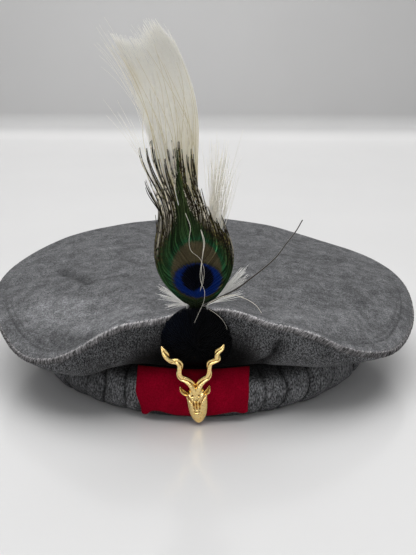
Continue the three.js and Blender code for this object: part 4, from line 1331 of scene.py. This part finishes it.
def tuft(name, node, foot, blades, seed):
    rng = np.random.default_rng(seed)
    steps = 12
    share = shares(steps)
    foot = np.array(foot) + LIFT
    paths = []
    for bend, tip, spread, count in blades:
        feet = foot + rng.normal(0, 0.35, (count, 3))
        fan = rng.normal(0, 1, (count, 3)) * (spread, 0.6, spread)
        reach = rng.beta(2.5, 1.1, (count, 1)) * 0.6 + 0.42
        tips = foot + (tip + LIFT + fan - foot) * reach
        bends = foot + (bend + LIFT + 0.4 * fan - foot) * reach
        paths.append(bezier(feet, bends, tips, steps))
    hold = np.linspace(foot - (0, 0, TUFT_HOLD), foot, steps)[None]
    down = strands(np.concatenate(paths), lerp(0.24, 0.07, share), lerp(0.16, 0.05, share))
    points, faces = joined(down, strands(hold, 0.5, 0.4))
    colours = lerp(0.97, 0.86, rng.random((len(points) // 3, 1))).repeat(3, 0) * (0.96, 0.95, 0.91)
    add_barbs(name, points, faces, colours, WHITE_FEATHER, "white_feather", node)


WHITE_BARB = (0.88, 0.83, 0.7)
DARK_BARB = (0.03, 0.024, 0.016)
# Loose strands: half width, colour and places
LOOSE_STRANDS = [
    (0.14, WHITE_BARB, [
        (-5.2, 1.4, 57.3), (-2.5, -0.6, 49), (-3.3, -1.6, 43.3), (-2.5, -2.6, 36.5), (2.4, -3.4, 31.8),
        (4.4, -4, 27), (4.1, -4.6, 17.3), (2.4, -4.8, 11.4),
    ]),
    (0.18, WHITE_BARB, [
        (3.1, -1, 48.5), (4.5, -2.2, 41), (3.8, -3.2, 33), (3.3, -4.2, 26), (3.7, -4.7, 19),
        (2.6, -4.9, 12.4),
    ]),
    (0.16, WHITE_BARB, [
        (3.5, -0.8, 47.3), (5.1, -1.8, 41.2), (4.1, -2.8, 34.3), (3.3, -4.4, 15.8), (4.7, -5, 12.5),
        (4.7, -6.2, 6.8), (1.6, -9, -0.6), (-0.9, -11, -6),
    ]),
    (0.14, WHITE_BARB, [
        (7.3, -6.6, 0.6), (11.5, -8.6, -1.4), (15, -9.2, -5), (16.8, -9.2, -8.6), (17.6, -8.6, -12),
    ]),
    (0.24, WHITE_BARB, [
        (4.5, -4.6, 1), (11.2, -6, 6.8), (16.5, -6.6, 9.6), (21.6, -7, 10.2), (28.7, -7, 7.5),
        (34.4, -7, 2.8), (36.9, -7, -1.5),
    ]),
    (0.7, DARK_BARB, [
        (4, -4.4, 1), (11.2, -5, 6), (23.3, -5.4, 13.8), (31, -5.4, 21), (38.6, -5, 28), (43.8, -4.6, 33.6),
        (48.9, -4, 41.6), (54, -3.2, 49.2), (57.2, -2.4, 55.6),
    ]),
]


def loose_strands():
    steps = 40
    parts = []
    colours = []
    for half, colour, places in LOOSE_STRANDS:
        width = half * lerp(1, 0.45, shares(steps))
        parts.append(strands(smooth_path(places, steps)[None] + LIFT, width, width))
        colours.append(np.tile(colour, (steps * 3, 1)))
    points, faces = joined(*parts)
    add_barbs("loose_strands", points, faces, np.concatenate(colours), WHITE_FEATHER, "white_feather")


# Stage, light and camera

PHOTO_HEIGHT = 555
PHOTO_FOCAL = 834  # in the photograph's pixels
CAMERA_PLACE = (18.26, -559.7, 243)
CAMERA_PITCH = 18.85
CAMERA_TURN = 1.5
SENSOR = 36
FLOOR_FRONT = -4000
FLOOR_BACK = 1030
COVE_RADIUS = 25
COVE_STEPS = 24
FLOOR_CLEAR = 0.2
WALL_TOP = 2000
STAGE_HALF = 9000
WORLD_COLOUR = (0.97, 0.98, 1, 1)
WORLD_STRENGTH = 0.345


def stage():
    """A pale floor that curves up into a wall."""
    angle = np.linspace(0, math.pi / 2, COVE_STEPS)
    cove = np.stack([FLOOR_BACK + COVE_RADIUS * np.sin(angle), COVE_RADIUS * (1 - np.cos(angle))], -1)
    profile = [(FLOOR_FRONT, 0), *cove, (cove[-1][0], WALL_TOP)]
    points = [(x, y, z - FLOOR_CLEAR) for y, z in profile for x in (-STAGE_HALF, STAGE_HALF)]
    mesh = bpy.data.meshes.new("floor")
    mesh.from_pydata(to_frame(points).tolist(), [], grid_faces(len(profile), 2, loop_columns=False))
    mesh.shade_smooth()
    mesh.materials.append(pale_ground())
    floor = add_object("floor", mesh)


def area_light(name, place, target, size, power, spread=180):
    """A square light that faces a target."""
    data = bpy.data.lights.new(name, "AREA")
    data.size = size * MM
    data.energy = power
    data.spread = math.radians(spread)
    light = add_object(name, data)
    light.location = to_frame(place)
    x, y, z = np.subtract(target, place)
    light.rotation_euler = (math.atan2(math.hypot(x, y), -z), 0, math.atan2(-x, y))
    return light


def hide(light, *rays):
    for ray in rays:
        setattr(light, "visible_" + ray, False)


def lights():
    area_light("overhead", (0, 180, 2200), (0, 0, 0), size=2400, power=47)
    fill = area_light("feather_fill", (100, -1500, 330), (-15, -95, 290), size=500, power=0.28, spread=24)
    hide(fill, "camera", "glossy")
    gloss = area_light("front_gloss", (-350, -2300, 1150), (0, -100, 30), size=1700, power=23)
    hide(gloss, "camera", "diffuse")
    gloss.light_linking.receiver_collection = PIECES
    world = bpy.data.worlds.new("studio")
    world.use_nodes = True
    background = world.node_tree.nodes["Background"]
    background.inputs["Color"].default_value = WORLD_COLOUR
    background.inputs["Strength"].default_value = WORLD_STRENGTH
    bpy.context.scene.world = world


def camera():
    data = bpy.data.cameras.new("photo_camera")
    data.sensor_fit = "VERTICAL"
    data.sensor_height = SENSOR
    data.lens = PHOTO_FOCAL * SENSOR / PHOTO_HEIGHT
    view = add_object("photo_camera", data)
    view.location = to_frame(CAMERA_PLACE)
    view.rotation_euler = (math.radians(90 - CAMERA_PITCH), 0, math.radians(CAMERA_TURN))
    bpy.context.scene.camera = view
    bpy.context.scene.view_settings.view_transform = "Standard"


camera()
stage()
lights()
crown_felt()
side_felt()
seam_edge()
roll_felt()
front_patch()
badge_gilt()
rosette_barbs()
peacock_eye()
plume_barbs()
tuft("tuft_left_barbs", "down_tuft_left", LEFT_TUFT_FOOT, LEFT_TUFT, 61)
tuft("tuft_right_barbs", "down_tuft_right", RIGHT_TUFT_FOOT, RIGHT_TUFT, 62)
loose_strands()
